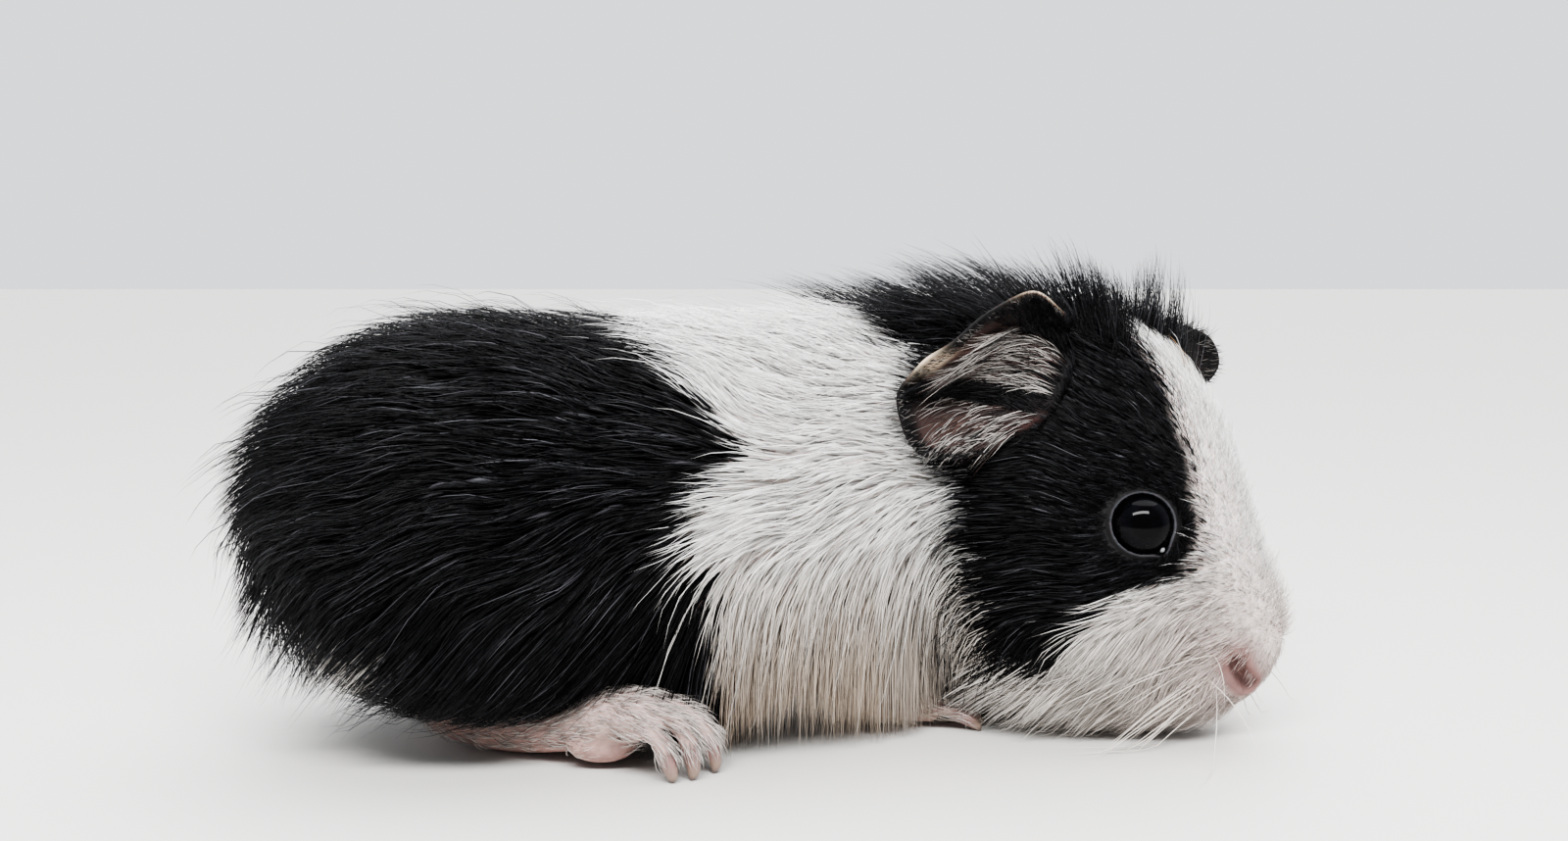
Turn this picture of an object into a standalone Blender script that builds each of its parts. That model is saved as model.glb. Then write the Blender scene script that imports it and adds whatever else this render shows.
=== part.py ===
"""A young long-haired guinea pig crouching on its belly, life size.

Metres, +Z up. The body lies along +X with the nose at the +X end, and the head turns towards -Y.
The origin is the middle of the flat that the belly rests on.
"""

import math

import bmesh
import bpy
import numpy as np

for old in list(bpy.data.objects):
    bpy.data.objects.remove(old, do_unlink=True)

MM = 0.001


def mm(*sizes):
    """Sizes in millimetres, as an array in metres."""
    return np.array(sizes, float) * MM


# Driving dimensions
GAP = 0.3 * MM
POCKET_GAP = 0.4 * MM
SLIVER = 0.001 * MM
BACK_HEIGHT = 61.5 * MM
BELLY_CLEARANCE = 9 * MM
FLESH_WIDTH = 53 * MM
COAT_DEPTH = 4.6 * MM
RUMP_COAT = 7.2 * MM
SHORT_COAT = 1.8 * MM
CORE_SHARE = 0.45
EYE_RADIUS = 5.2 * MM
EAR_THICKNESS = 1.4 * MM
TOE_RADIUS = 1.7 * MM
FINGER_RADIUS = 1.2 * MM
EYE_PLACE = mm(19.4, 12.6, 34.0)
EAR_PLACE = mm(0, 19, 52)
NOSE_PLACE = mm(36, 3, 9)
BODY_HEADING = 8.0
NECK_HEADING = -7.0
HEAD_HEADING = -22.0
TRUNK_ORIGIN = mm(20, 0, 0)
NECK_ORIGIN = mm(34.5, 0, 0)
HEAD_ORIGIN = mm(64, 4, 0)
HEAD_START = -12 * MM
SOFT_BLEND = 7 * MM


class Frame:
    """A level frame: an origin and a heading in degrees, 0 along +X and 90 along +Y."""

    def __init__(self, origin, heading):
        turn = math.radians(heading)
        self.origin = np.array(origin, float)
        forward = [math.cos(turn), math.sin(turn), 0]
        left = [-math.sin(turn), math.cos(turn), 0]
        self.axes = np.array([forward, left, [0, 0, 1]])

    def at(self, points):
        """World points for (forward, left, up) points of this frame."""
        return self.origin + np.asarray(points, float) @ self.axes

    def along(self, directions):
        """World directions for directions of this frame."""
        return np.asarray(directions, float) @ self.axes

    def local(self, points):
        """(forward, left, up) of world points."""
        return (np.asarray(points, float) - self.origin) @ self.axes.T


TRUNK = Frame(TRUNK_ORIGIN, 0)
BODY = Frame(TRUNK_ORIGIN, BODY_HEADING)
NECK = Frame(NECK_ORIGIN, NECK_HEADING)
HEAD = Frame(HEAD_ORIGIN, HEAD_HEADING)


# The flesh, as ellipsoids that melt into each other


class Form:
    """An ellipsoid of flesh, tilted nose-down by some degrees in its frame."""

    def __init__(self, frame, centre, radii, tilt=0.0):
        turn = math.radians(tilt)
        nose_down = np.array(
            [
                [math.cos(turn), 0, -math.sin(turn)],
                [0, 1, 0],
                [math.sin(turn), 0, math.cos(turn)],
            ]
        )
        self.centre = frame.at(centre)
        self.radii = np.asarray(radii, float)
        self.axes = nose_down @ frame.axes

    def distance(self, points):
        """About the distance from the ellipsoid, negative inside."""
        q = (points - self.centre) @ self.axes.T
        k0 = np.linalg.norm(q / self.radii, axis=-1)
        k1 = np.linalg.norm(q / self.radii**2, axis=-1)
        return k0 * (k0 - 1) / np.maximum(k1, 1e-9)


def both_sides(frame, centre, radii, tilt=0.0):
    mirrored = np.array(centre) * [1, -1, 1]
    return [Form(frame, centre, radii, tilt), Form(frame, mirrored, radii, tilt)]


HALF_WIDTH = FLESH_WIDTH / 2
HALF_HEIGHT = (BACK_HEIGHT - BELLY_CLEARANCE) / 2
MID_HEIGHT = (BACK_HEIGHT + BELLY_CLEARANCE) / 2

TORSO_FORMS = [
    Form(BODY, (-0.041, 0, MID_HEIGHT - 0.001), (0.031, HALF_WIDTH, HALF_HEIGHT + 0.001)),
    Form(BODY, (-0.010, 0, MID_HEIGHT), (0.038, HALF_WIDTH - 0.001, HALF_HEIGHT)),
    Form(BODY, (0.013, 0.0025, MID_HEIGHT + 0.001), (0.024, HALF_WIDTH - 0.0075, HALF_HEIGHT - 0.001)),
    Form(BODY, mm(-20, 0, 19), mm(25, 15, 19.2)),
    *both_sides(BODY, mm(-40, 13, 27), mm(21, 13, 18)),
]
NECK_FORMS = [Form(BODY, mm(32, 3, 38), mm(20, 15, 24))]
HEAD_FORMS = [
    Form(HEAD, mm(5, 0, 43), mm(22, 16.5, 21)),
    Form(HEAD, mm(20, 0, 33), mm(13, 11, 22), -24),
    Form(HEAD, mm(28, 0, 16.5), mm(10.8, 7.6, 10.5)),
    *both_sides(HEAD, mm(7, 9, 24), mm(18, 10.5, 17)),
    Form(HEAD, mm(17, 0, 10), mm(15, 10, 7.5)),
    Form(HEAD, mm(-7, 2, 23), mm(17, 13.5, 18)),
]


def flesh(points):
    """About the distance from the skin, negative inside: the forms joined by a smooth minimum."""
    points = np.asarray(points, float)
    found = None
    for form in TORSO_FORMS + NECK_FORMS + HEAD_FORMS:
        distance = form.distance(points)
        if found is None:
            found = distance
            continue
        near = np.maximum(SOFT_BLEND - np.abs(found - distance), 0) / SOFT_BLEND
        found = np.minimum(found, distance) - near**2 * SOFT_BLEND / 4
    return found


def ramp(value, start, end):
    """0 before start, 1 after end and a smooth rise between."""
    part_way = np.clip((value - start) / (end - start), 0, 1)
    return part_way**2 * (3 - 2 * part_way)


# Where the coat changes, each as the start and end of a smooth change: along the trunk and up it
# for the rump and the belly, along the head for the face and the core of the cheeks, and out from
# the eyes, ears and nose for the short hair round them.
RUMP_SPAN = mm(42, 75)
UNDER_RUMP = mm(4, 24)
BELLY_SPAN = mm(0, 12)
FACE_SPAN = mm(-12, 6)
CHEEK_SPAN = mm(-5, 13)
EYE_SPAN = mm(6, 10)
EAR_SPAN = mm(9, 17)
NOSE_SPAN = mm(5, 9)
BELLY_SHARE = 0.5
RIM_SHARE = 0.3
NOSE_SHARE = 0.15


def thinned(head, place, span, share):
    """1 well away from a place on either side of the head, falling to share close by."""
    right_or_left = np.stack([head[..., 0], np.abs(head[..., 1]), head[..., 2]], axis=-1)
    apart = np.linalg.norm(right_or_left - place, axis=-1)
    return share + (1 - share) * ramp(apart, *span)


def coat_depth(points):
    """How far the coat's tips stand off the skin: longest on the rump, shortest on the face."""
    body, head = BODY.local(points), HEAD.local(points)
    rump = ramp(-body[..., 0], *RUMP_SPAN) * ramp(body[..., 2], *UNDER_RUMP)
    depth = COAT_DEPTH + (RUMP_COAT - COAT_DEPTH) * rump
    depth = depth * (BELLY_SHARE + (1 - BELLY_SHARE) * ramp(body[..., 2], *BELLY_SPAN))
    depth = depth + (SHORT_COAT - depth) * ramp(head[..., 0], *FACE_SPAN)
    depth = depth * thinned(head, EYE_PLACE, EYE_SPAN, RIM_SHARE)
    depth = depth * thinned(head, EAR_PLACE, EAR_SPAN, RIM_SHARE)
    return depth * thinned(head, NOSE_PLACE, NOSE_SPAN, NOSE_SHARE)


def core_depth(points):
    """How far the core under the locks stands off the skin."""
    return CORE_SHARE * coat_depth(points)


def face_depth(points):
    """The head's surface: the core at the back and the tips of the short hair on the face."""
    face = ramp(HEAD.local(points)[..., 0], *CHEEK_SPAN)
    return coat_depth(points) * (CORE_SHARE + (1 - CORE_SHARE) * face)


def outward(points):
    """Unit vectors away from the flesh, by central differences."""
    step = 0.2 * MM
    slope = [flesh(points + d) - flesh(points - d) for d in np.eye(3) * step]
    slope = np.stack(slope, axis=-1)
    return slope / np.linalg.norm(slope, axis=-1, keepdims=True)


# How steeply the hair runs down for each step back, and the heights and lengths over which that
# changes: low on the flanks, at the front of the chest and low on the cheeks.
BACK_FALL = 0.12
FLANK_FALL = 1.0
CHEST_FALL = 2.2
FACE_FALL = 0.15
JAW_FALL = 0.6
FLANK_SPAN = mm(12, 56)
CHEST_ALONG = mm(12, 34)
CHEST_UP = mm(22, 42)
JAW_SPAN = mm(10, 35)
NAPE_SPAN = mm(-16, 0)


def coat_lie(points):
    """Unit vectors along the skin from root to tip: back over the body, more and more downwards
    towards the belly, straight down on the chest, and back and down over the cheeks."""
    body, head = BODY.local(points), HEAD.local(points)
    low = 1 - ramp(body[..., 2], *FLANK_SPAN)
    chest = ramp(body[..., 0], *CHEST_ALONG) * (1 - ramp(body[..., 2], *CHEST_UP))
    body_fall = BACK_FALL + FLANK_FALL * low + CHEST_FALL * chest
    face_fall = FACE_FALL + JAW_FALL * (1 - ramp(head[..., 2], *JAW_SPAN))
    body_flow, face_flow = (
        frame.along(np.stack([-np.ones_like(fall), np.zeros_like(fall), -fall], axis=-1))
        for frame, fall in ((BODY, body_fall), (HEAD, face_fall))
    )
    flow = body_flow + (face_flow - body_flow) * ramp(head[..., 0], *NAPE_SPAN)[..., None]
    out = outward(points)
    flow = flow - out * np.sum(flow * out, axis=-1, keepdims=True)
    return flow / np.linalg.norm(flow, axis=-1, keepdims=True)


# Meshes and how they are joined and cut


def material(name, colour, roughness):
    made = bpy.data.materials.new(name)
    made.use_nodes = True
    shader = made.node_tree.nodes["Principled BSDF"]
    shader.inputs["Base Color"].default_value = (*colour, 1)
    shader.inputs["Roughness"].default_value = roughness
    shader.inputs["Metallic"].default_value = 0.0
    return made


def solid(name, points, faces, finish=None):
    mesh = bpy.data.meshes.new(name)
    mesh.from_pydata([tuple(p) for p in points], [], faces)
    mesh.validate()
    made = bpy.data.objects.new(name, mesh)
    bpy.context.scene.collection.objects.link(made)
    if finish:
        mesh.materials.append(finish)
    return made


def apply_modifiers(obj):
    bpy.context.view_layer.update()
    graph = bpy.context.evaluated_depsgraph_get()
    mesh = bpy.data.meshes.new_from_object(obj.evaluated_get(graph))
    obj.modifiers.clear()
    obj.data = mesh


def boolean(obj, operation, others, solver="MANIFOLD"):
    """Joins others to obj, or cuts them from it, and removes them."""
    if not others:
        return
    group = bpy.data.collections.new(obj.name + "_" + operation.lower())
    bpy.context.scene.collection.children.link(group)
    for other in others:
        bpy.context.scene.collection.objects.unlink(other)
        group.objects.link(other)
    step = obj.modifiers.new(operation.lower(), "BOOLEAN")
    step.operation = operation
    step.solver = solver
    step.operand_type = "COLLECTION"
    step.collection = group
    apply_modifiers(obj)
    for other in others:
        bpy.data.objects.remove(other, do_unlink=True)
    bpy.data.collections.remove(group)


def keep_largest(obj):
    """Keeps the one closed surface, joined edge to edge, that holds the most volume."""
    shape = bmesh.new()
    shape.from_mesh(obj.data)
    bmesh.ops.remove_doubles(shape, verts=shape.verts, dist=SLIVER)
    bmesh.ops.dissolve_degenerate(shape, edges=shape.edges, dist=SLIVER)
    bmesh.ops.triangulate(shape, faces=shape.faces)
    waiting = set(shape.faces)
    best, best_volume = [], 0.0
    while waiting:
        island = [waiting.pop()]
        for face in island:
            for edge in face.edges:
                for other in edge.link_faces if edge.is_manifold else ():
                    if other in waiting:
                        waiting.remove(other)
                        island.append(other)
        corners = [[v.co for v in face.verts] for face in island]
        volume = sum(a.dot(b.cross(c)) for a, b, c in corners)
        if volume > best_volume:
            best, best_volume = island, volume
    kept = set(best)
    bmesh.ops.delete(shape, geom=[f for f in shape.faces if f not in kept], context="FACES")
    bmesh.ops.delete(shape, geom=[e for e in shape.edges if not e.link_faces], context="EDGES")
    shape.to_mesh(obj.data)
    shape.free()


def shade(obj, sharp_degrees=40):
    obj.data.shade_smooth()
    obj.data.set_sharp_from_angle(angle=math.radians(sharp_degrees))


def coat_rings(depth, rings, sectors):
    """Points where rays first leave the flesh by its depth, ring by ring.

    Each ring has an origin, an axis and a cone angle in degrees: its rays lean that far from the
    axis, so 90 makes a flat ring across it and 0 a single point ahead.
    """
    found = []
    for origin, axis, lean in rings:
        axis = axis / np.linalg.norm(axis)
        side = np.cross((0, 0, 1), axis)
        side /= np.linalg.norm(side)
        over = np.cross(axis, side)
        around = 2 * math.pi * np.arange(sectors if lean > 0 else 1) / sectors
        spread = np.cos(around)[:, None] * side + np.sin(around)[:, None] * over
        rays = math.cos(math.radians(lean)) * axis + math.sin(math.radians(lean)) * spread
        found.append(origin + rays * leaving(origin, rays, depth)[:, None])
    return np.concatenate(found)


def leaving(origin, rays, depth):
    """How far along each ray it first passes out of the coat, by steps and then by halving."""
    step = 1 * MM
    low = np.zeros(len(rays))
    inside = np.ones(len(rays), bool)
    while inside.any():
        ahead_of = origin + rays * (low + step)[:, None]
        inside &= flesh(ahead_of) < depth(ahead_of)
        low[inside] += step
    high = low + step
    for _ in range(20):
        middle = (low + high) / 2
        points = origin + rays * middle[:, None]
        out = flesh(points) > depth(points)
        low, high = np.where(out, low, middle), np.where(out, middle, high)
    return (low + high) / 2


def ring_faces(count, sectors, pole):
    """Quads between full rings, a flat cap on the first, and a fan or a flat cap on the last."""
    faces = [tuple(range(sectors))]
    for ring in range(count - 1):
        for k in range(sectors):
            n = (k + 1) % sectors
            a, b = ring * sectors, (ring + 1) * sectors
            faces.append((a + k, b + k, b + n, a + n))
    last = (count - 1) * sectors
    if pole:
        faces += [(last + k, count * sectors, last + (k + 1) % sectors) for k in range(sectors)]
    else:
        faces.append(tuple(range(last + sectors - 1, last - 1, -1)))
    return faces


def coat_solid(name, depth, rings, sectors, finish=None):
    pole = rings[-1][2] == 0
    points = coat_rings(depth, rings, sectors)
    faces = ring_faces(len(rings) - pole, sectors, pole)
    made = solid(name, points, faces, finish)
    face_outwards(made)
    return made


def between(start, end, count):
    """count rings from one ring to another, both included, with origin, axis and lean in step."""
    steps = np.linspace(0, 1, count)
    return [tuple(a + (b - a) * t for a, b in zip(start, end)) for t in steps]


def block(name, frame, low, high):
    """A plain box in a frame, for cutting."""
    spans = list(zip(low, high))
    corners = [(x, y, z) for x in spans[0] for y in spans[1] for z in spans[2]]
    faces = [(0, 1, 3, 2), (4, 6, 7, 5), (0, 4, 5, 1), (2, 3, 7, 6), (0, 2, 6, 4), (1, 5, 7, 3)]
    return solid(name, frame.at(corners), faces)


FAR = 0.2


def under_floor():
    return block("under_floor", TRUNK, (-FAR, -FAR, -FAR), (FAR, FAR, 0))


def behind(frame, along):
    """All that lies behind a plane across a frame's forward axis."""
    return block("behind", frame, (-FAR, -FAR, -FAR), (along, FAR, FAR))


def ahead(frame, along):
    return block("ahead", frame, (along, -FAR, -FAR), (FAR, FAR, FAR))


# Swept pieces


def sweep(name, path, width, height, side, sides=8, finish=None):
    """A closed tube along path. width and height are half sizes at each point, and side is the
    direction, or directions, that width is measured along."""
    path = np.asarray(path, float)
    count = len(path)
    width = np.broadcast_to(width, count)
    height = np.broadcast_to(height, count)
    side = np.broadcast_to(np.asarray(side, float), (count, 3))
    tangent = np.gradient(path, axis=0)
    tangent /= np.linalg.norm(tangent, axis=1, keepdims=True)
    over = np.cross(tangent, side)
    over /= np.linalg.norm(over, axis=1, keepdims=True)
    across = np.cross(over, tangent)
    angle = 2 * math.pi * np.arange(sides) / sides
    ring = np.cos(angle)[None, :, None] * (across * width[:, None])[:, None]
    ring = ring + np.sin(angle)[None, :, None] * (over * height[:, None])[:, None]
    points = (path[:, None] + ring).reshape(-1, 3)
    faces = [tuple(range(sides)), tuple(range(len(points) - 1, len(points) - sides - 1, -1))]
    for k in range(count - 1):
        for j in range(sides):
            n = (j + 1) % sides
            a, b = k * sides, (k + 1) * sides
            faces.append((a + j, b + j, b + n, a + n))
    made = solid(name, points, faces, finish)
    face_outwards(made)
    return made


def face_outwards(obj):
    """Turns every face of a closed mesh round if its volume comes out negative."""
    mesh = obj.data
    mesh.calc_loop_triangles()
    points = np.array([v.co for v in mesh.vertices], float)
    corners = np.array([t.vertices for t in mesh.loop_triangles])
    a, b, c = (points[corners[:, k]] for k in range(3))
    if np.einsum("ij,ij->i", a, np.cross(b, c)).sum() < 0:
        mesh.flip_normals()


def smooth_path(points, count):
    """count points on a smooth curve through the given ones."""
    points = np.asarray(points, float)
    knots = np.linspace(0, 1, len(points))
    wanted = np.linspace(0, 1, count)
    padded = np.concatenate([[2 * points[0] - points[1]], points, [2 * points[-1] - points[-2]]])
    found = []
    for t in wanted:
        k = min(int(t * (len(points) - 1)), len(points) - 2)
        u = (t - knots[k]) * (len(points) - 1)
        p0, p1, p2, p3 = padded[k : k + 4]
        found.append(
            0.5
            * (
                2 * p1
                + (p2 - p0) * u
                + (2 * p0 - 5 * p1 + 4 * p2 - p3) * u**2
                + (3 * p1 - p0 - 3 * p2 + p3) * u**3
            )
        )
    return np.array(found)


def ball(name, centre, radius, rings=10, sectors=16, finish=None):
    """A sphere placed by its mesh."""
    mesh = bpy.data.meshes.new(name)
    shape = bmesh.new()
    bmesh.ops.create_uvsphere(shape, u_segments=sectors, v_segments=rings, radius=radius)
    bmesh.ops.translate(shape, verts=shape.verts, vec=tuple(centre))
    shape.to_mesh(mesh)
    shape.free()
    made = bpy.data.objects.new(name, mesh)
    bpy.context.scene.collection.objects.link(made)
    if finish:
        mesh.materials.append(finish)
    return made


# Locks of long hair

TORSO_SEED = 7
NECK_SEED = 7
HEAD_SEED = 9
LOCK_SPACING = 14 * MM
CHEEK_SPACING = 10.5 * MM
CREST_SPACING = 5.5 * MM
NAPE_SPACING = 6.9 * MM
LOCK_LENGTH = 22 * MM
LOCK_WIDTH = 11.5 * MM
LOCK_THICKNESS = 2.4 * MM
CREST_LENGTH = 10.5 * MM
CREST_WIDTH = 7.4 * MM
CREST_THICKNESS = 3.0 * MM
CREST_SPREAD = 9 * MM
CREST_SPAN = mm(-25, 17)
CREST_FLOOR = 50 * MM
ROOT_DEPTH = 1.8 * MM
FLOOR_CLEAR = 0.9 * MM
LOWEST_ROOT = 10 * MM
LEG_CLEARANCE = {"fore": 5.5 * MM, "hind": 6.5 * MM}
# Least and greatest: size against the usual, chance in size, swing aside in radians, place along
# a row against the spacing, lean of the crest in front and behind, and turn of its locks.
SIZE_RANGE = (0.6, 1.15)
CHANCE = (0.85, 1.15)
SWING = (-0.32, 0.32)
JITTER = (-0.22, 0.22)
LEAN_RANGE = (0.45, 1.25)
CREST_TURN = (-0.9, 0.9)
# How much shorter, and how much further over, the crest's outermost locks are
SIDE_SHORTER = 0.25
SIDE_LEAN = 0.3
# Shares at four places from a lock's root to its tip
LOCK_RISE = (0.0, 0.45, 0.85, 1.0)
LOCK_BREADTH = np.array([0.85, 1.0, 0.62, 0.03])
CREST_BREADTH = np.array([1.0, 0.8, 0.46, 0.05])
LOCK_BULK = np.array([1.0, 0.85, 0.42, 0.06])


def turned(vectors, axes, angles):
    """Vectors turned about unit axes at right angles to them, by angles in radians."""
    angles = angles[:, None]
    return vectors * np.cos(angles) + np.cross(axes, vectors) * np.sin(angles)


def lock_roots(rings, spacing, draws):
    """Places on the core along each ring, about spacing apart, staggered and jittered."""
    found = []
    for number, ring in enumerate(rings):
        around = coat_rings(core_depth, [ring], 60)
        closed = np.concatenate([around, around[:1]])
        run = np.concatenate([[0], np.cumsum(np.linalg.norm(np.diff(closed, axis=0), axis=1))])
        count = max(round(run[-1] / spacing), 3)
        shift = 0.5 * (number % 2) + draws.uniform(*JITTER, count)
        places = (np.arange(count) + shift) / count % 1 * run[-1]
        found.append(np.stack([np.interp(places, run, closed[:, k]) for k in range(3)], axis=-1))
    return np.concatenate(found)


def lying_paths(roots, lengths, swings):
    """Points along each lock, which starts under the core and rises to the coat's tips as it
    follows the lie, swung a little to one side."""
    points = roots
    path = []
    for number, rise in enumerate(LOCK_RISE):
        for _ in range(2):
            core, tips = core_depth(points), coat_depth(points)
            height = core + (tips - core) * rise if number else core - ROOT_DEPTH
            points = points + outward(points) * (height - flesh(points))[:, None]
        points[:, 2] = np.maximum(points[:, 2], FLOOR_CLEAR)
        path.append(points)
        lie = turned(coat_lie(points), outward(points), swings * (2 * rise - 0.5))
        points = points + lie * (lengths / (len(LOCK_RISE) - 1))[:, None]
    return np.stack(path, axis=1)


def standing_paths(roots, lengths, leans):
    """Points along each lock of the crest, which stands up from the skin and bends back."""
    out, lie = outward(roots)[:, None], coat_lie(roots)[:, None]
    up = np.linspace(0, 1, len(LOCK_RISE))[None, :, None]
    lengths, leans = lengths[:, None, None], leans[:, None, None]
    rise = out * ((lengths + ROOT_DEPTH) * up - ROOT_DEPTH)
    return roots[:, None] + rise + lie * lengths * leans * (0.35 * up + 0.65 * up**2)


def locks(paths, widths, breadth, thickness, sides):
    """A flat, tapered, closed lock along each path, wide in the direction of sides."""
    made = []
    for path, width, side in zip(paths, widths, sides):
        made.append(sweep("lock", path, width / 2 * breadth, thickness / 2 * LOCK_BULK, side, 4))
    return made


def clear_of_legs(paths, kinds):
    """Whether each lock keeps well away from the legs below the coat."""
    far = np.ones(len(paths), bool)
    for kind, side in kinds:
        line = placed(side, kind, smooth_path(ARM_LINE if kind == "fore" else FOOT_LINE, 12))
        reach = LEG_CLEARANCE[kind]
        apart = np.linalg.norm(paths[:, 2:, None] - line, axis=-1).min(axis=(1, 2))
        far &= apart > reach
    return far


# Finishes

BLACK_COAT = material("black_coat", (0.012, 0.012, 0.014), 0.55)
WHITE_COAT = material("white_coat", (0.80, 0.77, 0.73), 0.6)
PINK_SKIN = material("pink_skin", (0.72, 0.47, 0.44), 0.5)
EAR_SKIN = material("ear_skin", (0.10, 0.07, 0.07), 0.5)
EYE_GLOSS = material("eye_gloss", (0.01, 0.008, 0.01), 0.05)
CLAW_HORN = material("claw_horn", (0.55, 0.42, 0.36), 0.35)


# Torso, neck and head

MIDDLE = 34 * MM
NECK_BACK = (NECK.at((0, 0, MIDDLE)), NECK.along((-1.0, 0, 0)), 90.0)
SHOULDER = (BODY.at(mm(0, 0, 34)), BODY.along((-1.0, 0, 0)), 90.0)
HIP = (BODY.at(mm(-38, 0, 32)), BODY.along((-1.0, 0, 0)), 90.0)
TAIL = (BODY.at(mm(-40, 0, 32)), BODY.along((-1.0, 0, 0)), 0.0)
NAPE = (HEAD.at((HEAD_START, 0, MIDDLE)), HEAD.along((1.0, 0, 0)), 90.0)
LOCK_START = 4 * MM


def lying_locks(rings, spacing, draws, kinds, keep=lambda roots: roots[:, 2] > LOWEST_ROOT):
    """Locks laid over a node's core, longest on the rump and shortest on the cheeks."""
    roots = lock_roots(rings, spacing, draws)
    roots = roots[keep(roots)]
    size = np.clip(coat_depth(roots) / COAT_DEPTH, *SIZE_RANGE)
    lengths = LOCK_LENGTH * size * draws.uniform(*CHANCE, len(roots))
    swings = draws.uniform(*SWING, len(roots))
    widths = LOCK_WIDTH * np.sqrt(size) * draws.uniform(*CHANCE, len(roots))
    paths = lying_paths(roots, lengths, swings)
    clear = clear_of_legs(paths, kinds)
    paths, widths = paths[clear], widths[clear]
    sides = np.cross(np.gradient(paths, axis=1), outward(paths))
    return locks(paths, widths, LOCK_BREADTH, LOCK_THICKNESS, sides)


def make_torso():
    """The core from the neck back along the trunk and round the rump, under its locks."""
    front = (NECK.at((-GAP / 2, 0, MIDDLE)), *NECK_BACK[1:])
    rings = between(front, SHOULDER, 3)[:-1] + between(SHOULDER, HIP, 5)[:-1] + between(HIP, TAIL, 7)
    torso = coat_solid("torso", core_depth, rings, 24, BLACK_COAT)
    draws = np.random.default_rng(TORSO_SEED)
    first = (NECK.at((LOCK_START, 0, MIDDLE)), *NECK_BACK[1:])
    rows = between(first, SHOULDER, 3)[:-1] + between(SHOULDER, HIP, 4)[:-1] + between(HIP, TAIL, 5)
    hair = lying_locks(rows, LOCK_SPACING, draws, LEGS)
    boolean(torso, "UNION", hair)
    pockets = [leg_cutter(*leg) for leg in LEGS]
    boolean(torso, "DIFFERENCE", [under_floor(), ahead(NECK, -GAP / 2), *pockets])
    return torso


def make_neck():
    back = (NECK.at((GAP / 2, 0, MIDDLE)), -NECK_BACK[1], 90.0)
    front = (NAPE[0] - NAPE[1] * GAP / 2, NAPE[1], 90.0)
    neck = coat_solid("neck", core_depth, between(back, front, 4), 24, WHITE_COAT)
    draws = np.random.default_rng(NECK_SEED)
    rows = between(back, front, 3)[1:]
    hair = lying_locks(rows, LOCK_SPACING, draws, LEGS[:2])
    hair += crest(between(back, front, 4)[1:], NAPE_SPACING, draws)
    boolean(neck, "UNION", hair)
    pockets = [leg_cutter(*leg) for leg in LEGS[:2]]
    pockets.append(ear("ear_pocket", -1, POCKET_GAP))
    ends = [under_floor(), behind(NECK, GAP / 2), ahead(HEAD, HEAD_START - GAP / 2)]
    boolean(neck, "DIFFERENCE", [*ends, *pockets])
    return neck


def crest(rings, spacing, draws):
    """The tuft on the nape and crown: locks that stand up, upright in front and leaning back
    behind, shorter and lower to the sides."""
    roots = lock_roots(rings, spacing, draws)
    forward, aside, up = HEAD.local(roots).T
    aside = np.abs(aside) / CREST_SPREAD
    within = (aside < 1) & (up > CREST_FLOOR) & (forward < CREST_SPAN[1])
    roots, forward, aside = roots[within], ramp(forward[within], *CREST_SPAN), aside[within]
    lengths = CREST_LENGTH * draws.uniform(*CHANCE, len(roots)) * (1 - SIDE_SHORTER * aside)
    upright, leaning = LEAN_RANGE
    leans = leaning + (upright - leaning) * forward + SIDE_LEAN * aside
    paths = standing_paths(roots, lengths, leans * draws.uniform(*CHANCE, len(roots)))
    widths = CREST_WIDTH * draws.uniform(*CHANCE, len(roots))
    turns = draws.uniform(*CREST_TURN, len(roots))
    sides = HEAD.along(np.stack([np.cos(turns), np.sin(turns), 0 * turns], axis=-1))
    return locks(paths, widths, CREST_BREADTH, CREST_THICKNESS, sides)


# Eyes

EYE_FACING = np.array([0.40, 0.88, 0.22])
LID_RADIUS = 4.9 * MM
LID_ROLL = 0.9 * MM
LID_RISE = 2.4 * MM


def on_side(side, point):
    """A point or direction of the right side (side -1) or left side (side 1) of the head."""
    return np.asarray(point, float) * [1, side, 1]


def eyeball(side, name, radius, finish=None):
    return ball(name, HEAD.at(on_side(side, EYE_PLACE)), radius, 9, 14, finish)


def lid_ring(side):
    """The two lids as one rolled rim round the eyeball."""
    facing = HEAD.along(on_side(side, EYE_FACING))
    facing /= np.linalg.norm(facing)
    across = np.cross(facing, (0, 0, 1))
    across /= np.linalg.norm(across)
    over = np.cross(across, facing)
    centre = HEAD.at(on_side(side, EYE_PLACE)) + facing * LID_RISE
    count, sides = 16, 5
    around = 2 * math.pi * np.arange(count) / count
    roll = 2 * math.pi * np.arange(sides) / sides
    around, roll = np.meshgrid(around, roll, indexing="ij")
    out = np.cos(around)[..., None] * across * 1.02 + np.sin(around)[..., None] * over
    points = centre + out * (LID_RADIUS + LID_ROLL * np.cos(roll))[..., None]
    points = points + facing * (LID_ROLL * np.sin(roll))[..., None]
    faces = []
    for k in range(count):
        for j in range(sides):
            m, n = (k + 1) % count, (j + 1) % sides
            faces.append((k * sides + j, m * sides + j, m * sides + n, k * sides + n))
    ring = solid("lids", points.reshape(-1, 3), faces)
    face_outwards(ring)
    return ring


def on_skin(side, along, up):
    """The place on the skin of one side of the head at some distance along and up it."""
    low, high = np.zeros(len(along)), np.full(len(along), 0.04)
    for _ in range(20):
        middle = (low + high) / 2
        out = flesh(HEAD.at(np.stack([along, side * middle, up], axis=-1))) > 0
        low, high = np.where(out, low, middle), np.where(out, middle, high)
    return np.stack([along, side * low, up], axis=-1)


# Nose and mouth

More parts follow.
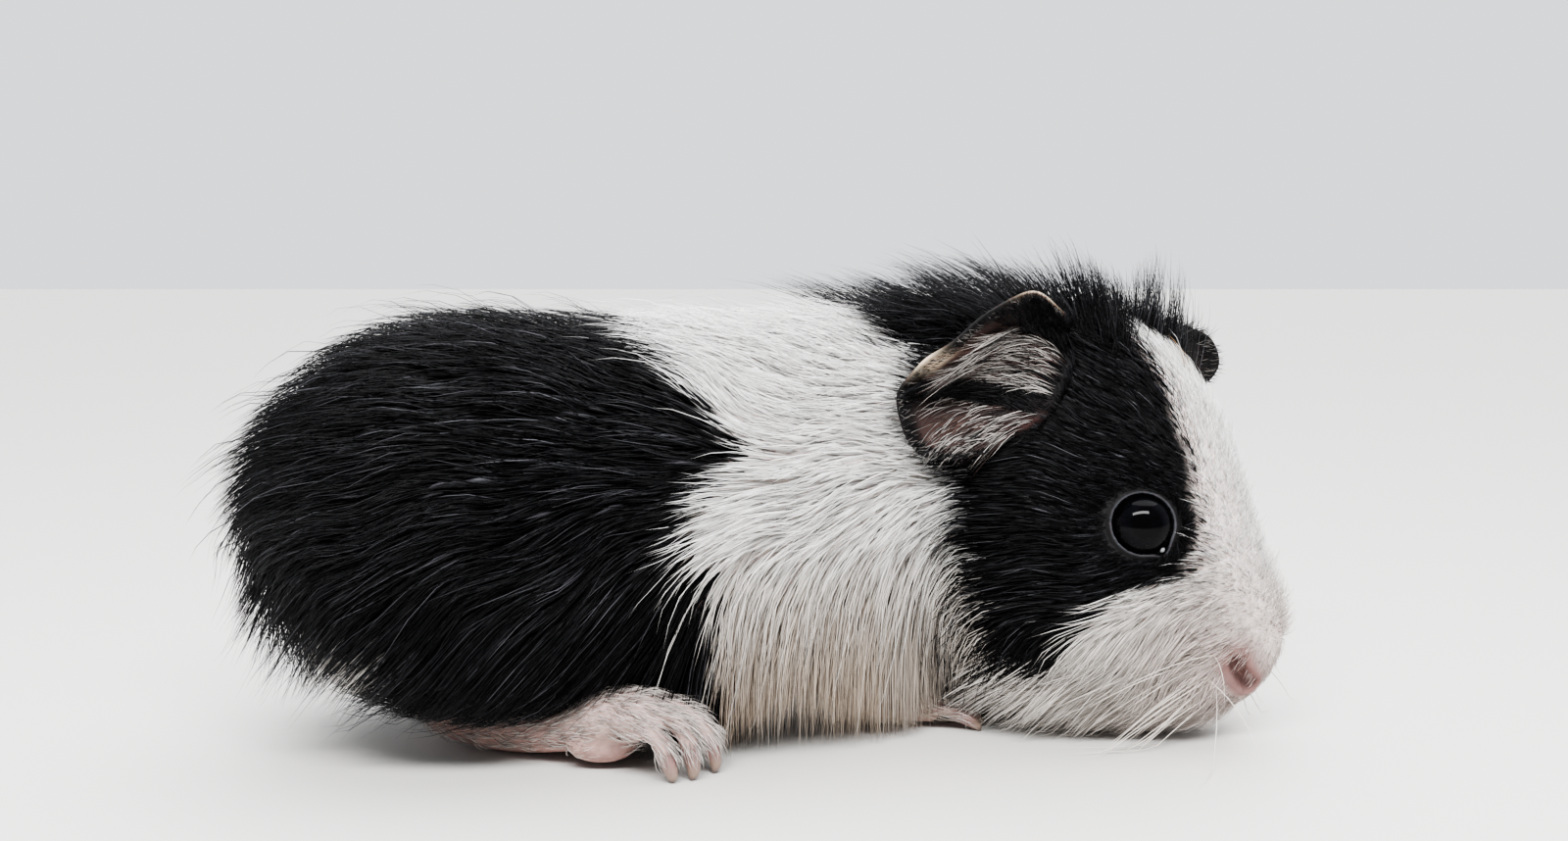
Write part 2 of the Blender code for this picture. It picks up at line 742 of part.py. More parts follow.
NOSTRIL_PATH = mm((33.2, 13.3), (33.7, 11.6), (34.7, 9.8))
NOSTRIL_HALF_WIDTH = mm(0.35, 0.7, 0.8, 0.6, 0.25)
NOSTRIL_DEPTH = 1.3 * MM
MOUTH_PATH = mm((27.0, 8.2, 6.2), (31.5, 6.0, 5.0), (34.6, 2.6, 5.2), (35.6, 0.0, 6.6))
MOUTH_HALF_HEIGHT = 0.35 * MM
MOUTH_DEPTH = 1.6 * MM


def nostril(side):
    path = HEAD.at(on_skin(side, *smooth_path(NOSTRIL_PATH, 5).T))
    across = HEAD.along((1, 0, 0))
    return sweep("nostril", path, NOSTRIL_HALF_WIDTH, NOSTRIL_DEPTH, across, 6)


def mouth():
    """The line between the lips, from corner to corner, as a thin slot."""
    right = on_side(-1, MOUTH_PATH)
    left = on_side(1, MOUTH_PATH[:-1])[::-1]
    path = HEAD.at(smooth_path(np.concatenate([right, left]), 13))
    return sweep("mouth", path, MOUTH_HALF_HEIGHT, MOUTH_DEPTH, (0, 0, 1), 6)


CROWN = (HEAD.at(mm(4, 0, 33)), HEAD.along((0.95, 0, -0.2)), 90.0)
BROW = (HEAD.at(mm(11, 0, 29)), HEAD.along((0.9, 0, -0.45)), 82.0)
NOSE = (HEAD.at(mm(15, 0, 25)), HEAD.along((0.86, 0, -0.5)), 0.0)


CHEEK_FRONT = 10.5 * MM
CHEEK_SLOPE = 0.35
CHEEK_TOP = 42 * MM
CHIN_WIDTH = 12 * MM


def on_cheek(roots):
    """Whether a place on the head is in the long hair of the cheeks, clear of eyes and ears."""
    place = HEAD.local(roots)
    behind_eye = place[:, 0] + CHEEK_SLOPE * (place[:, 2] - EYE_PLACE[2]) < CHEEK_FRONT
    beside = (np.abs(place[:, 1]) > CHIN_WIDTH / 2) & (place[:, 2] < CHEEK_TOP)
    return behind_eye & beside & (place[:, 2] > LOWEST_ROOT)


def make_head():
    """The head to the tips of its short hair, with long locks on the cheeks and a crest."""
    back = (NAPE[0] + NAPE[1] * GAP / 2, NAPE[1], 90.0)
    rings = between(back, CROWN, 4)[:-1] + between(CROWN, BROW, 5)[:-1] + between(BROW, NOSE, 13)
    head = coat_solid("head", face_depth, rings, 32, BLACK_COAT)
    draws = np.random.default_rng(HEAD_SEED)
    cheek_rows = between(back, CROWN, 3)[1:-1] + between(CROWN, BROW, 2)
    hair = lying_locks(cheek_rows, CHEEK_SPACING, draws, LEGS[:2], on_cheek)
    crest_rows = between(back, CROWN, 4)[:-1] + between(CROWN, BROW, 4)
    hair += crest(crest_rows, CREST_SPACING, draws)
    boolean(head, "UNION", [lid_ring(-1), lid_ring(1), *hair])
    sockets = [eyeball(side, "socket", EYE_RADIUS + GAP) for side in (-1, 1)]
    ears = [ear("ear_pocket", side, POCKET_GAP) for side in (-1, 1)]
    legs = [leg_cutter(*leg) for leg in LEGS[:2]]
    openings = [*sockets, nostril(-1), nostril(1), mouth()]
    ends = [under_floor(), behind(HEAD, HEAD_START + GAP / 2)]
    boolean(head, "DIFFERENCE", [*ends, *openings, *ears, *legs])
    return head


def make_eyes():
    for side, name in ((-1, "eye_right"), (1, "eye_left")):
        eye = eyeball(side, name, EYE_RADIUS, EYE_GLOSS)
        shade(eye)


# Ears

# Each ear is a cupped flap between the line that it grows from, given by its places along and up
# the head, and its free rim, both listed from the front root round to the rear root in the head's
# frame. The right ear is laid back and the left one is turned forwards.
EAR_ROOT_EDGE = {
    -1: mm((7.0, 61.0), (8.8, 57.0), (7.6, 52.0), (4.0, 48.0), (-1.0, 46.0)),
    1: mm((9.0, 60.0), (11.0, 56.5), (10.0, 52.0), (7.0, 48.5), (3.0, 46.5)),
}
EAR_RIM = {
    -1: mm(
        (8.6, 16, 65.0),
        (5.8, 23, 68.3),
        (1.0, 26.5, 65.8),
        (-4.2, 28.5, 61.3),
        (-9.0, 29.3, 57.9),
        (-12.0, 29.5, 52.3),
        (-10.2, 28, 45.6),
        (-6.2, 25, 43.9),
        (-1.6, 20.5, 44.5),
    ),
    1: mm(
        (13.0, 14.5, 63.0),
        (18.5, 20.5, 61.5),
        (23.5, 24.5, 59.0),
        (24.5, 27.0, 54.5),
        (21.0, 28.0, 50.0),
        (15.0, 27.0, 46.5),
        (9.5, 24.5, 44.6),
        (5.6, 21.0, 44.2),
        (3.0, 18.0, 44.5),
    ),
}
EAR_CUP = {-1: mm(-3.2, -2.6, 1.6), 1: mm(-3.6, -3.6, 0.4)}
EAR_ROOT_DEPTH = 2.5 * MM
# How near the root the cup is deepest, how evenly it runs round, and the rim's share of thickness
CUP_LEAN = 0.8
CUP_EVENNESS = 0.7
RIM_THINNESS = 0.65


def ear(name, side, grow=0.0, finish=None):
    """One ear as a closed shell: its middle sheet runs from the root edge to the rim, sunk in
    between by a cup in step with its width, with the two skins half a thickness to each side."""
    steps_out, steps_round = 6, 14
    root = smooth_path(EAR_ROOT_EDGE[side], steps_round)
    root = on_skin(side, root[:, 0], root[:, 1])
    rim = smooth_path(on_side(side, EAR_RIM[side]), steps_round)
    out = np.linspace(0, 1, steps_out)[:, None, None]
    round_ear = np.linspace(0, 1, steps_round)[None, :, None]
    cup = on_side(side, EAR_CUP[side])
    reach = np.linalg.norm(rim - root, axis=-1)[None, :, None]
    hollow = np.sin(math.pi * out**CUP_LEAN) * np.sin(math.pi * round_ear) ** CUP_EVENNESS
    sheet = root + (rim - root) * out + cup * hollow * reach / reach.max()
    sunk = root - on_side(side, (0, EAR_ROOT_DEPTH, 0))
    sheet = np.concatenate([sunk[None], sheet])
    sheet = spread_edges(spread_edges(sheet, grow).swapaxes(0, 1), grow).swapaxes(0, 1)
    across = np.gradient(sheet, axis=1)
    along = np.gradient(sheet, axis=0)
    normal = np.cross(along, across)
    normal /= np.linalg.norm(normal, axis=-1, keepdims=True)
    thin = np.linspace(1, RIM_THINNESS, steps_out + 1)[:, None, None]
    half = EAR_THICKNESS / 2 * thin + grow
    skins = np.stack([sheet + normal * half, sheet - normal * half])
    rows, columns = sheet.shape[:2]
    index = np.arange(2 * rows * columns).reshape(2, rows, columns)
    faces = []
    for r in range(rows - 1):
        for c in range(columns - 1):
            top = [index[0, r, c], index[0, r + 1, c], index[0, r + 1, c + 1], index[0, r, c + 1]]
            low = [index[1, r, c], index[1, r, c + 1], index[1, r + 1, c + 1], index[1, r + 1, c]]
            faces += [(top[0], top[1], top[2]), (top[0], top[2], top[3])]
            faces += [(low[0], low[1], low[2]), (low[0], low[2], low[3])]
    edge = [(0, c) for c in range(columns)]
    edge += [(r, columns - 1) for r in range(1, rows)]
    edge += [(rows - 1, c) for c in range(columns - 2, -1, -1)]
    edge += [(r, 0) for r in range(rows - 2, 0, -1)]
    for k, (r, c) in enumerate(edge):
        r2, c2 = edge[(k + 1) % len(edge)]
        faces.append((index[0, r, c], index[0, r2, c2], index[1, r2, c2], index[1, r, c]))
    faces = [tuple(int(i) for i in face) for face in faces]
    made = solid(name, HEAD.at(skins.reshape(-1, 3)), faces, finish)
    face_outwards(made)
    return made


def spread_edges(sheet, by):
    """The sheet with its first and last rows carried on by a distance."""
    wider = sheet.copy()
    for edge, next_in in ((0, 1), (-1, -2)):
        onward = sheet[edge] - sheet[next_in]
        wider[edge] += onward / np.linalg.norm(onward, axis=-1, keepdims=True) * by
    return wider


def make_ears():
    for side, name in ((-1, "ear_right"), (1, "ear_left")):
        shade(ear(name, side, 0.0, EAR_SKIN))


# Legs

# The right foot's middle line and its half width and half height along it, from the heel to the
# ball, then each toe from its knuckle to its end and the tip of its claw. All in the trunk's frame.
FOOT_LINE = mm(
    (-50, -9, 7.5),
    (-45, -11.5, 4.2),
    (-36, -15.5, 3.2),
    (-27, -19.2, 4.6),
    (-20, -22.8, 7.0),
    (-14.5, -26, 8.4),
)
FOOT_HALF_WIDTH = mm(2.8, 3.3, 3.3, 3.7, 4.6, 4.0)
HIND_TOES = [
    mm((-18, -27.0, 8.0), (-13.9, -29.6, 7.4), (-11.9, -30.2, 5.4), (-11.1, -30.3, 3.3)),
    mm((-16, -26.0, 9.2), (-10.8, -28.0, 8.4), (-8.5, -28.7, 6.0), (-7.8, -28.9, 3.6)),
    mm((-15, -23.6, 9.0), (-9.2, -24.6, 8.4), (-6.3, -25.2, 6.2), (-5.2, -25.6, 3.8)),
]
HIND_CLAW_TIPS = mm((-10.4, -30.5, 0.05), (-7.9, -29.3, 0.05), (-4.8, -26.0, 0.05))
TIP_HEIGHT = 0.05 * MM
ARM_LINE = mm((9, -7.5, 15), (12.5, -7.3, 10), (18.5, -5.2, 5.6), (24.5, -2.4, 3.4), (28, -1.6, 3.0))
ARM_HALF_WIDTH = mm(3.6, 3.6, 3.2, 2.6, 3.0)
# The forepaw's toes fan out by these degrees about its heading from knuckles in a row.
PAW_SPREAD = np.array([-21, -7, 7, 20])
PAW_HEADING = 6.0
KNUCKLE_PITCH = 0.09 * MM
FINGER_ROOT = 2.0 * MM
FINGER_REACH = 6.0 * MM
OUTER_FINGER_SHARE = 0.006
FINGER_DROP = mm((0, 0, 0), (0, 0, -0.3), (0, 0, -1.2))
FINGER_CLAW = 2.4 * MM
# Half height against half width, and a toe's girth at its root and end against its radius
LIMB_FLATNESS = 0.95
TOE_TAPER = (1.12, 0.85)
CLAW_THICKNESS = {"fore": 0.72 * MM, "hind": 0.95 * MM}
CLAW_TAPER = np.array([1, 0.9, 0.6, 0.18])
CLAW_BEND = 0.6
LEFT_SHIFT = {"fore": mm(4, 0, 0), "hind": mm(3, 5, 0)}
LEGS = [("fore", -1), ("fore", 1), ("hind", -1), ("hind", 1)]


def placed(side, kind, points):
    """World points of the right leg's, or of their mirror image across the trunk."""
    world = TRUNK.at(points)
    if side < 0:
        return world
    mirrored = BODY.local(world) * [1, -1, 1]
    return BODY.at(mirrored + LEFT_SHIFT[kind])


def fingers():
    """Each forepaw toe's line and the tip of its claw, fanned out from the knuckles."""
    heading = math.radians(PAW_HEADING)
    sideways = np.array([-math.sin(heading), math.cos(heading), 0])
    found = []
    for spread in PAW_SPREAD:
        turn = heading + math.radians(spread)
        onward = np.array([math.cos(turn), math.sin(turn), 0])
        knuckle = ARM_LINE[-1] + sideways * spread * KNUCKLE_PITCH
        reach = FINGER_REACH * (1 - OUTER_FINGER_SHARE * abs(spread))
        steps = np.array([-FINGER_ROOT, reach / 2, reach])
        claw_tip = knuckle + onward * (reach + FINGER_CLAW)
        claw_tip[2] = TIP_HEIGHT
        found.append((knuckle + onward * steps[:, None] + FINGER_DROP, claw_tip))
    return found


def limb(kind, side, grow=0.0):
    """The pieces of one leg below the coat: its length and its toes, all fattened by grow."""
    fore = kind == "fore"
    line = ARM_LINE if fore else FOOT_LINE
    half = ARM_HALF_WIDTH if fore else FOOT_HALF_WIDTH
    path = smooth_path(placed(side, kind, line), 8)
    width = np.interp(np.linspace(0, 1, 8), np.linspace(0, 1, len(half)), half) + grow
    pieces = [sweep(kind, lengthen(path, grow), width, width * LIMB_FLATNESS, UPRIGHT_SIDE, 8)]
    radius = FINGER_RADIUS if fore else TOE_RADIUS
    for toe, claw_tip in toes(kind):
        path = smooth_path(placed(side, kind, toe), 5)
        size = radius * np.linspace(*TOE_TAPER, 5) + grow
        pieces.append(sweep("toe", lengthen(path, grow), size, size, UPRIGHT_SIDE, 7))
    return pieces


def toes(kind):
    """Each toe's line and the tip of its claw, of a right leg."""
    return fingers() if kind == "fore" else list(zip(HIND_TOES, HIND_CLAW_TIPS))


UPRIGHT_SIDE = (0.35, 0.94, 0)


def lengthen(path, by):
    """The path with both its ends carried on by a distance."""
    longer = path.copy()
    first, last = path[0] - path[1], path[-1] - path[-2]
    longer[0] += first / np.linalg.norm(first) * by
    longer[-1] += last / np.linalg.norm(last) * by
    return longer


def joined(name, pieces, finish=None):
    whole = pieces[0]
    whole.name = name
    whole.data.name = name
    boolean(whole, "UNION", pieces[1:])
    if finish:
        whole.data.materials.clear()
        whole.data.materials.append(finish)
    return whole


def leg_cutter(kind, side):
    return joined("leg_pocket", limb(kind, side, POCKET_GAP))


def make_legs():
    for kind, side in LEGS:
        name = f"{kind}leg_{'right' if side < 0 else 'left'}"
        leg = joined(name, limb(kind, side), PINK_SKIN)
        boolean(leg, "DIFFERENCE", [under_floor()])
        keep_largest(leg)
        shade(leg)
        make_claws(kind, side, leg)


def make_claws(kind, side, leg):
    """A curved, tapered claw ahead of each toe, one gap from its end."""
    size = CLAW_THICKNESS[kind] * CLAW_TAPER
    for number, (toe, claw_tip) in enumerate(toes(kind), 1):
        end, before = toe[-1], toe[-2]
        onward = (end - before) / np.linalg.norm(end - before)
        start = end + onward * GAP
        bend = start + onward * np.linalg.norm(claw_tip - start) / 2
        middle = bend * CLAW_BEND + (start + claw_tip) / 2 * (1 - CLAW_BEND)
        path = smooth_path(placed(side, kind, [start, middle, claw_tip]), len(CLAW_TAPER))
        name = f"claw_{kind}_{'right' if side < 0 else 'left'}_{number}"
        claw = sweep(name, path, size, size * 1.1, UPRIGHT_SIDE, 6, CLAW_HORN)
        boolean(claw, "DIFFERENCE", [under_floor()])
        keep_largest(claw)
        shade(claw)


make_legs()
torso = make_torso()
neck = make_neck()
head = make_head()
make_ears()
make_eyes()
for flesh_node in (torso, neck, head):
    keep_largest(flesh_node)
    shade(flesh_node)
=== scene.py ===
"""A young long-haired guinea pig, black and white, crouching with its head turned a little aside.

Metres, +Z up. The body lies along +X with the nose at the +X end, and the right side faces -Y.
One skin covers the flesh, and the coat grows on it as tapered solid strands that follow the lie
of the hair. Sizes that the solids share with this script are repeated here by name.
"""

import math

import bpy
import numpy as np
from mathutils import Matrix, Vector


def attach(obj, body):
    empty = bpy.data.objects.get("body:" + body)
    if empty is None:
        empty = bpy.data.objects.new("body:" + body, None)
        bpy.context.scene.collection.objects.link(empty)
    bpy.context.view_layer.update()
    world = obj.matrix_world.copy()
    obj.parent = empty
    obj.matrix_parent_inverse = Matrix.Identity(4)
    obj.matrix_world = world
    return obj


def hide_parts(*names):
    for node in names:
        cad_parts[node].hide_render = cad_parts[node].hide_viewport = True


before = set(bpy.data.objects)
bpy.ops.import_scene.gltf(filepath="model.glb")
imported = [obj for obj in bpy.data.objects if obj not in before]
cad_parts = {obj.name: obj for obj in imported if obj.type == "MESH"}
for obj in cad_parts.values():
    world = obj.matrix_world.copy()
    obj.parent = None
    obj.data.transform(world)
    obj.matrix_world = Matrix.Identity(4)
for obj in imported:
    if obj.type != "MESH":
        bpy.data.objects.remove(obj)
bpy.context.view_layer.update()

MM = 0.001
DRAWS = np.random.default_rng(12)


def mm(*sizes):
    """Sizes in millimetres, as an array in metres."""
    return np.array(sizes, float) * MM


# Sizes of the body, as the solids have them
BACK_HEIGHT = 61.5 * MM
BELLY_CLEARANCE = 9 * MM
FLESH_WIDTH = 53 * MM
COAT_DEPTH = 4.6 * MM
RUMP_COAT = 7.2 * MM
SHORT_COAT = 1.8 * MM
EYE_RADIUS = 5.2 * MM
EYE_PLACE = mm(19.4, 12.6, 34.0)
EAR_PLACE = mm(0, 19, 52)
NOSE_PLACE = mm(36, 3, 9)
BODY_HEADING = 8.0
NECK_HEADING = -7.0
HEAD_HEADING = -22.0
TRUNK_ORIGIN = mm(20, 0, 0)
NECK_ORIGIN = mm(34.5, 0, 0)
HEAD_ORIGIN = mm(64, 4, 0)
SOFT_BLEND = 7 * MM
FLOOR_CLEAR = 0.3 * MM
TIP_HEIGHT = 0.05 * MM


class Frame:
    """A level frame: an origin and a heading in degrees, 0 along +X and 90 along +Y."""

    def __init__(self, origin, heading):
        turn = math.radians(heading)
        self.origin = np.array(origin, float)
        forward = [math.cos(turn), math.sin(turn), 0]
        left = [-math.sin(turn), math.cos(turn), 0]
        self.axes = np.array([forward, left, [0, 0, 1]])

    def at(self, points):
        """World points for (forward, left, up) points of this frame."""
        return self.origin + np.asarray(points, float) @ self.axes

    def along(self, directions):
        """World directions for directions of this frame."""
        return np.asarray(directions, float) @ self.axes

    def local(self, points):
        """(forward, left, up) of world points."""
        return (np.asarray(points, float) - self.origin) @ self.axes.T


TRUNK = Frame(TRUNK_ORIGIN, 0)
BODY = Frame(TRUNK_ORIGIN, BODY_HEADING)
NECK = Frame(NECK_ORIGIN, NECK_HEADING)
HEAD = Frame(HEAD_ORIGIN, HEAD_HEADING)


# The flesh, as ellipsoids that melt into each other


class Form:
    """An ellipsoid of flesh, tilted nose-down by some degrees in its frame."""

    def __init__(self, frame_of, centre, radii, tilt=0.0):
        turn = math.radians(tilt)
        nose_down = np.array(
            [
                [math.cos(turn), 0, -math.sin(turn)],
                [0, 1, 0],
                [math.sin(turn), 0, math.cos(turn)],
            ]
        )
        self.centre = frame_of.at(centre)
        self.radii = np.asarray(radii, float)
        self.axes = nose_down @ frame_of.axes

    def distance(self, points):
        """About the distance from the ellipsoid, negative inside: k0 (k0 - 1) / k1, where k0 is
        the length of the place over the radii and k1 that over the radii squared."""
        q = (points - self.centre) @ self.axes.T / self.radii
        k0 = np.sqrt(np.einsum("...i,...i", q, q))
        q /= self.radii
        k1 = np.sqrt(np.einsum("...i,...i", q, q))
        return k0 * (k0 - 1) / np.maximum(k1, 1e-9)


def both_sides(frame_of, centre, radii):
    """A form and its mirror image across its frame."""
    mirrored = np.array(centre) * [1, -1, 1]
    return [Form(frame_of, centre, radii), Form(frame_of, mirrored, radii)]


HALF_WIDTH = FLESH_WIDTH / 2
HALF_HEIGHT = (BACK_HEIGHT - BELLY_CLEARANCE) / 2
MID_HEIGHT = (BACK_HEIGHT + BELLY_CLEARANCE) / 2

FORMS = [
    Form(BODY, (-41 * MM, 0, MID_HEIGHT - MM), (31 * MM, HALF_WIDTH, HALF_HEIGHT + MM)),
    Form(BODY, (-10 * MM, 0, MID_HEIGHT), (38 * MM, HALF_WIDTH - MM, HALF_HEIGHT)),
    Form(BODY, (13 * MM, 2.5 * MM, MID_HEIGHT + MM), (24 * MM, HALF_WIDTH - 7.5 * MM, HALF_HEIGHT - MM)),
    Form(BODY, mm(-20, 0, 19), mm(25, 15, 19.2)),
    *both_sides(BODY, mm(-40, 13, 27), mm(21, 13, 18)),
    Form(BODY, mm(32, 3, 38), mm(20, 15, 24)),
    Form(HEAD, mm(5, 0, 43), mm(22, 16.5, 21)),
    Form(HEAD, mm(20, 0, 33), mm(13, 11, 22), -24),
    Form(HEAD, mm(28, 0, 16.5), mm(10.8, 7.6, 10.5)),
    *both_sides(HEAD, mm(7, 9, 24), mm(18, 10.5, 17)),
    Form(HEAD, mm(17, 0, 10), mm(15, 10, 7.5)),
    Form(HEAD, mm(-7, 2, 23), mm(17, 13.5, 18)),
]


def flesh(points):
    """About the distance from the skin, negative inside: the forms joined by a smooth minimum."""
    points = np.asarray(points, float)
    found = FORMS[0].distance(points)
    for form in FORMS[1:]:
        distance = form.distance(points)
        near = np.maximum(SOFT_BLEND - np.abs(found - distance), 0) / SOFT_BLEND
        found = np.minimum(found, distance) - near**2 * SOFT_BLEND / 4
    return found


CORNERS = np.array([(1, -1, -1), (-1, -1, 1), (-1, 1, -1), (1, 1, 1)])
SLOPE_STEP = 0.2 * MM


def outward(points):
    """Unit vectors away from the flesh, from its distance at the corners of a small tetrahedron."""
    slope = sum(corner * flesh(points + corner * SLOPE_STEP)[..., None] for corner in CORNERS)
    return unit(slope)


def unit(vectors):
    """The vectors at length 1."""
    return vectors / np.maximum(np.linalg.norm(vectors, axis=-1, keepdims=True), 1e-12)


def ramp(value, start, end):
    """0 before start, 1 after end and a smooth rise between."""
    part_way = np.clip((value - start) / (end - start), 0, 1)
    return part_way**2 * (3 - 2 * part_way)


def bell(value, middle, width):
    """A bell curve: 1 at the middle and 1/e a width away from it."""
    return np.exp(-(((value - middle) / width) ** 2))


def kept_above(points, height):
    """The points, raised to a height where they are below it."""
    points[..., 2] = np.maximum(points[..., 2], height)
    return points


def ripple(points, size, seed):
    """Smooth noise from about -1 to 1: six sine waves about size long in drawn directions."""
    draws = np.random.default_rng(seed)
    waves = unit(draws.normal(size=(6, 3))) * draws.uniform(0.7, 1.5, (6, 1)) * 2 * math.pi / size
    phases = draws.uniform(0, 2 * math.pi, 6)
    return np.sin(points @ waves.T + phases).sum(axis=-1) / 2.4


def smooth_path(points, count):
    """count points on a Catmull-Rom curve through the given ones."""
    points = np.asarray(points, float)
    padded = np.concatenate([[2 * points[0] - points[1]], points, [2 * points[-1] - points[-2]]])
    wanted = np.linspace(0, len(points) - 1, count)
    k = np.minimum(wanted.astype(int), len(points) - 2)
    u = (wanted - k)[:, None]
    p0, p1, p2, p3 = (padded[k + n] for n in range(4))
    bend = (2 * p0 - 5 * p1 + 4 * p2 - p3) * u**2 + (3 * p1 - p0 - 3 * p2 + p3) * u**3
    return 0.5 * (2 * p1 + (p2 - p0) * u + bend)


# The coat: its depth, its length and the way it lies

RUMP_SPAN = mm(42, 75)
UNDER_RUMP = mm(14, 38)
BELLY_SPAN = mm(0, 12)
FACE_SPAN = mm(-12, 6)
EYE_SPAN = mm(6, 10)
EAR_SPAN = mm(9, 17)
NOSE_SPAN = mm(5, 9)
BELLY_SHARE = 0.5
RIM_SHARE = 0.3
NOSE_SHARE = 0.15


def one_side(head):
    """Places in the head's frame, with those of the right side mirrored to the left."""
    return np.stack([head[..., 0], np.abs(head[..., 1]), head[..., 2]], axis=-1)


def thinned(head, place, span, share):
    """1 well away from a place on either side of the head, falling to share close by."""
    apart = np.linalg.norm(one_side(head) - place, axis=-1)
    return share + (1 - share) * ramp(apart, *span)


def coat_depth(points):
    """How far the coat's tips stand off the skin: longest on the rump, shortest on the face."""
    body, head = BODY.local(points), HEAD.local(points)
    rump = ramp(-body[..., 0], *RUMP_SPAN) * ramp(body[..., 2], *UNDER_RUMP)
    depth = COAT_DEPTH + (RUMP_COAT - COAT_DEPTH) * rump
    depth = depth * (BELLY_SHARE + (1 - BELLY_SHARE) * ramp(body[..., 2], *BELLY_SPAN))
    depth = depth + (SHORT_COAT - depth) * ramp(head[..., 0], *FACE_SPAN)
    depth = depth * thinned(head, EYE_PLACE, EYE_SPAN, RIM_SHARE)
    depth = depth * thinned(head, EAR_PLACE, EAR_SPAN, RIM_SHARE)
    return depth * thinned(head, NOSE_PLACE, NOSE_SPAN, NOSE_SHARE)


# How steeply the hair runs down for each step back, and where that changes
BACK_FALL = 0.12
FLANK_FALL = 1.0
CHEST_FALL = 2.6
FACE_FALL = 0.12
JAW_FALL = 0.36
BROW_RISE = 0.55
BRIDGE_RISE = 1.7
BRIDGE_WIDTH = 6 * MM
WITHERS_RISE = 0.95
FLANK_SPAN = mm(8, 48)
CHEST_ALONG = mm(-14, 12)
CHEST_UP = mm(12, 28)
JAW_SPAN = mm(4, 26)
BROW_SPAN = mm(28, 48)
TEMPLE_SPAN = mm(-4, 12)
BRIDGE_SPAN = mm(13, 22)
NAPE_SPAN = mm(-16, 0)
WITHERS = mm(-12, 56)
WITHERS_SPREAD = mm(12, 9)
RUMP_STAND = 0.42
STAND_SPAN = mm(24, 42)


def coat_lie(points, out):
    """Unit vectors along the skin from root to tip: back over the body, up towards the spine
    behind the withers, down the flanks, straight down on the chest, back over the cheeks, and up
    the bridge of the nose and the brow. At the rump it stands off the skin, as it goes on
    backwards where the body ends."""
    body, head = BODY.local(points), HEAD.local(points)
    low = 1 - ramp(body[..., 2], *FLANK_SPAN)
    chest = ramp(body[..., 0], *CHEST_ALONG) * (1 - ramp(body[..., 2], *CHEST_UP))
    withers = np.exp(-(((body[..., (0, 2)] - WITHERS) / WITHERS_SPREAD) ** 2).sum(axis=-1))
    body_fall = BACK_FALL + FLANK_FALL * low + CHEST_FALL * chest - WITHERS_RISE * withers
    brow = ramp(head[..., 2], *BROW_SPAN) * ramp(head[..., 0], *TEMPLE_SPAN)
    bridge = bell(head[..., 1], 0, BRIDGE_WIDTH) * ramp(head[..., 0], *TEMPLE_SPAN)
    bridge = bridge * ramp(head[..., 2], *BRIDGE_SPAN)
    face_fall = FACE_FALL + JAW_FALL * (1 - ramp(head[..., 2], *JAW_SPAN))
    face_fall = face_fall - BROW_RISE * brow - BRIDGE_RISE * bridge
    body_flow, face_flow = (
        frame_of.along(np.stack([-np.ones_like(fall), np.zeros_like(fall), -fall], axis=-1))
        for frame_of, fall in ((BODY, body_fall), (HEAD, face_fall))
    )
    flow = body_flow + (face_flow - body_flow) * ramp(head[..., 0], *NAPE_SPAN)[..., None]
    off = np.sum(flow * out, axis=-1)
    stand = RUMP_STAND * ramp(-body[..., 0], *RUMP_SPAN) * ramp(body[..., 2], *STAND_SPAN) * (off > 0)
    return unit(flow - out * (off * (1 - stand))[..., None])


BODY_HAIR = 23 * MM
RUMP_HAIR = 7 * MM
BELLY_HAIR = 8 * MM
# Length of the hair at places along the head, from the nape to the nose
HEAD_HAIR_PLACES = mm(-14, -4, 4, 12, 20, 28, 36)
HEAD_HAIR = mm(21, 15, 12, 9.5, 7.0, 4.6, 1.8)
# The fringe of the chest and belly: its tips' height at places along the body, its lengths and
# where it grows
FRINGE_HEIGHT = mm((-10, 1.0), (0, 6.0), (8, 6.0), (20, 1.5))
FRINGE_LENGTHS = mm(8, 27)
FRINGE_ALONG = mm(-18, -8)
FRINGE_UP = mm(24, 35)
THROAT_SPAN = mm(-11, -6)
# How much longer a fringe hair is than the height that it hangs down
FRINGE_SLACK = 1.15
# How far the skin faces down, 0 to 1, where the fringe ends and where the belly's hair begins
FRINGE_END = (0.8, 0.95)
UNDER_SPAN = (0.35, 0.85)
LID_HAIR_SHARE = 0.5
BROW_SHARE = 0.6
SHORT_SPAN = mm(24, 36)


def fringe_share(points, out):
    """1 where the fringe of the chest and belly grows, and 0 elsewhere."""
    body, head = BODY.local(points), HEAD.local(points)
    along = ramp(body[..., 0], *FRINGE_ALONG) * (1 - ramp(head[..., 0], *THROAT_SPAN))
    return along * (1 - ramp(body[..., 2], *FRINGE_UP)) * (1 - ramp(-out[..., 2], *FRINGE_END))


def hair_length(points, out):
    """How long the hair is: long on the body, longest on the rump and short on the face."""
    body, head = BODY.local(points), HEAD.local(points)
    under = ramp(-out[..., 2], *UNDER_SPAN)
    length = BODY_HAIR + RUMP_HAIR * ramp(-body[..., 0], *RUMP_SPAN)
    tips = np.interp(body[..., 0], *FRINGE_HEIGHT.T)
    reach = np.clip((body[..., 2] - tips) * FRINGE_SLACK, *FRINGE_LENGTHS)
    length = length + (BELLY_HAIR - length) * under
    face = np.interp(head[..., 0], HEAD_HAIR_PLACES, HEAD_HAIR)
    face = face * (1 - (1 - BROW_SHARE) * ramp(head[..., 2], *SHORT_SPAN))
    length = np.minimum(length, face)
    length = length + (reach - length) * fringe_share(points, out)
    near_eye = thinned(head, EYE_PLACE, EYE_SPAN, RIM_SHARE)
    return length * (1 - LID_HAIR_SHARE + LID_HAIR_SHARE * near_eye)


# Markings: where the black ends, as places along the body or head at heights up it

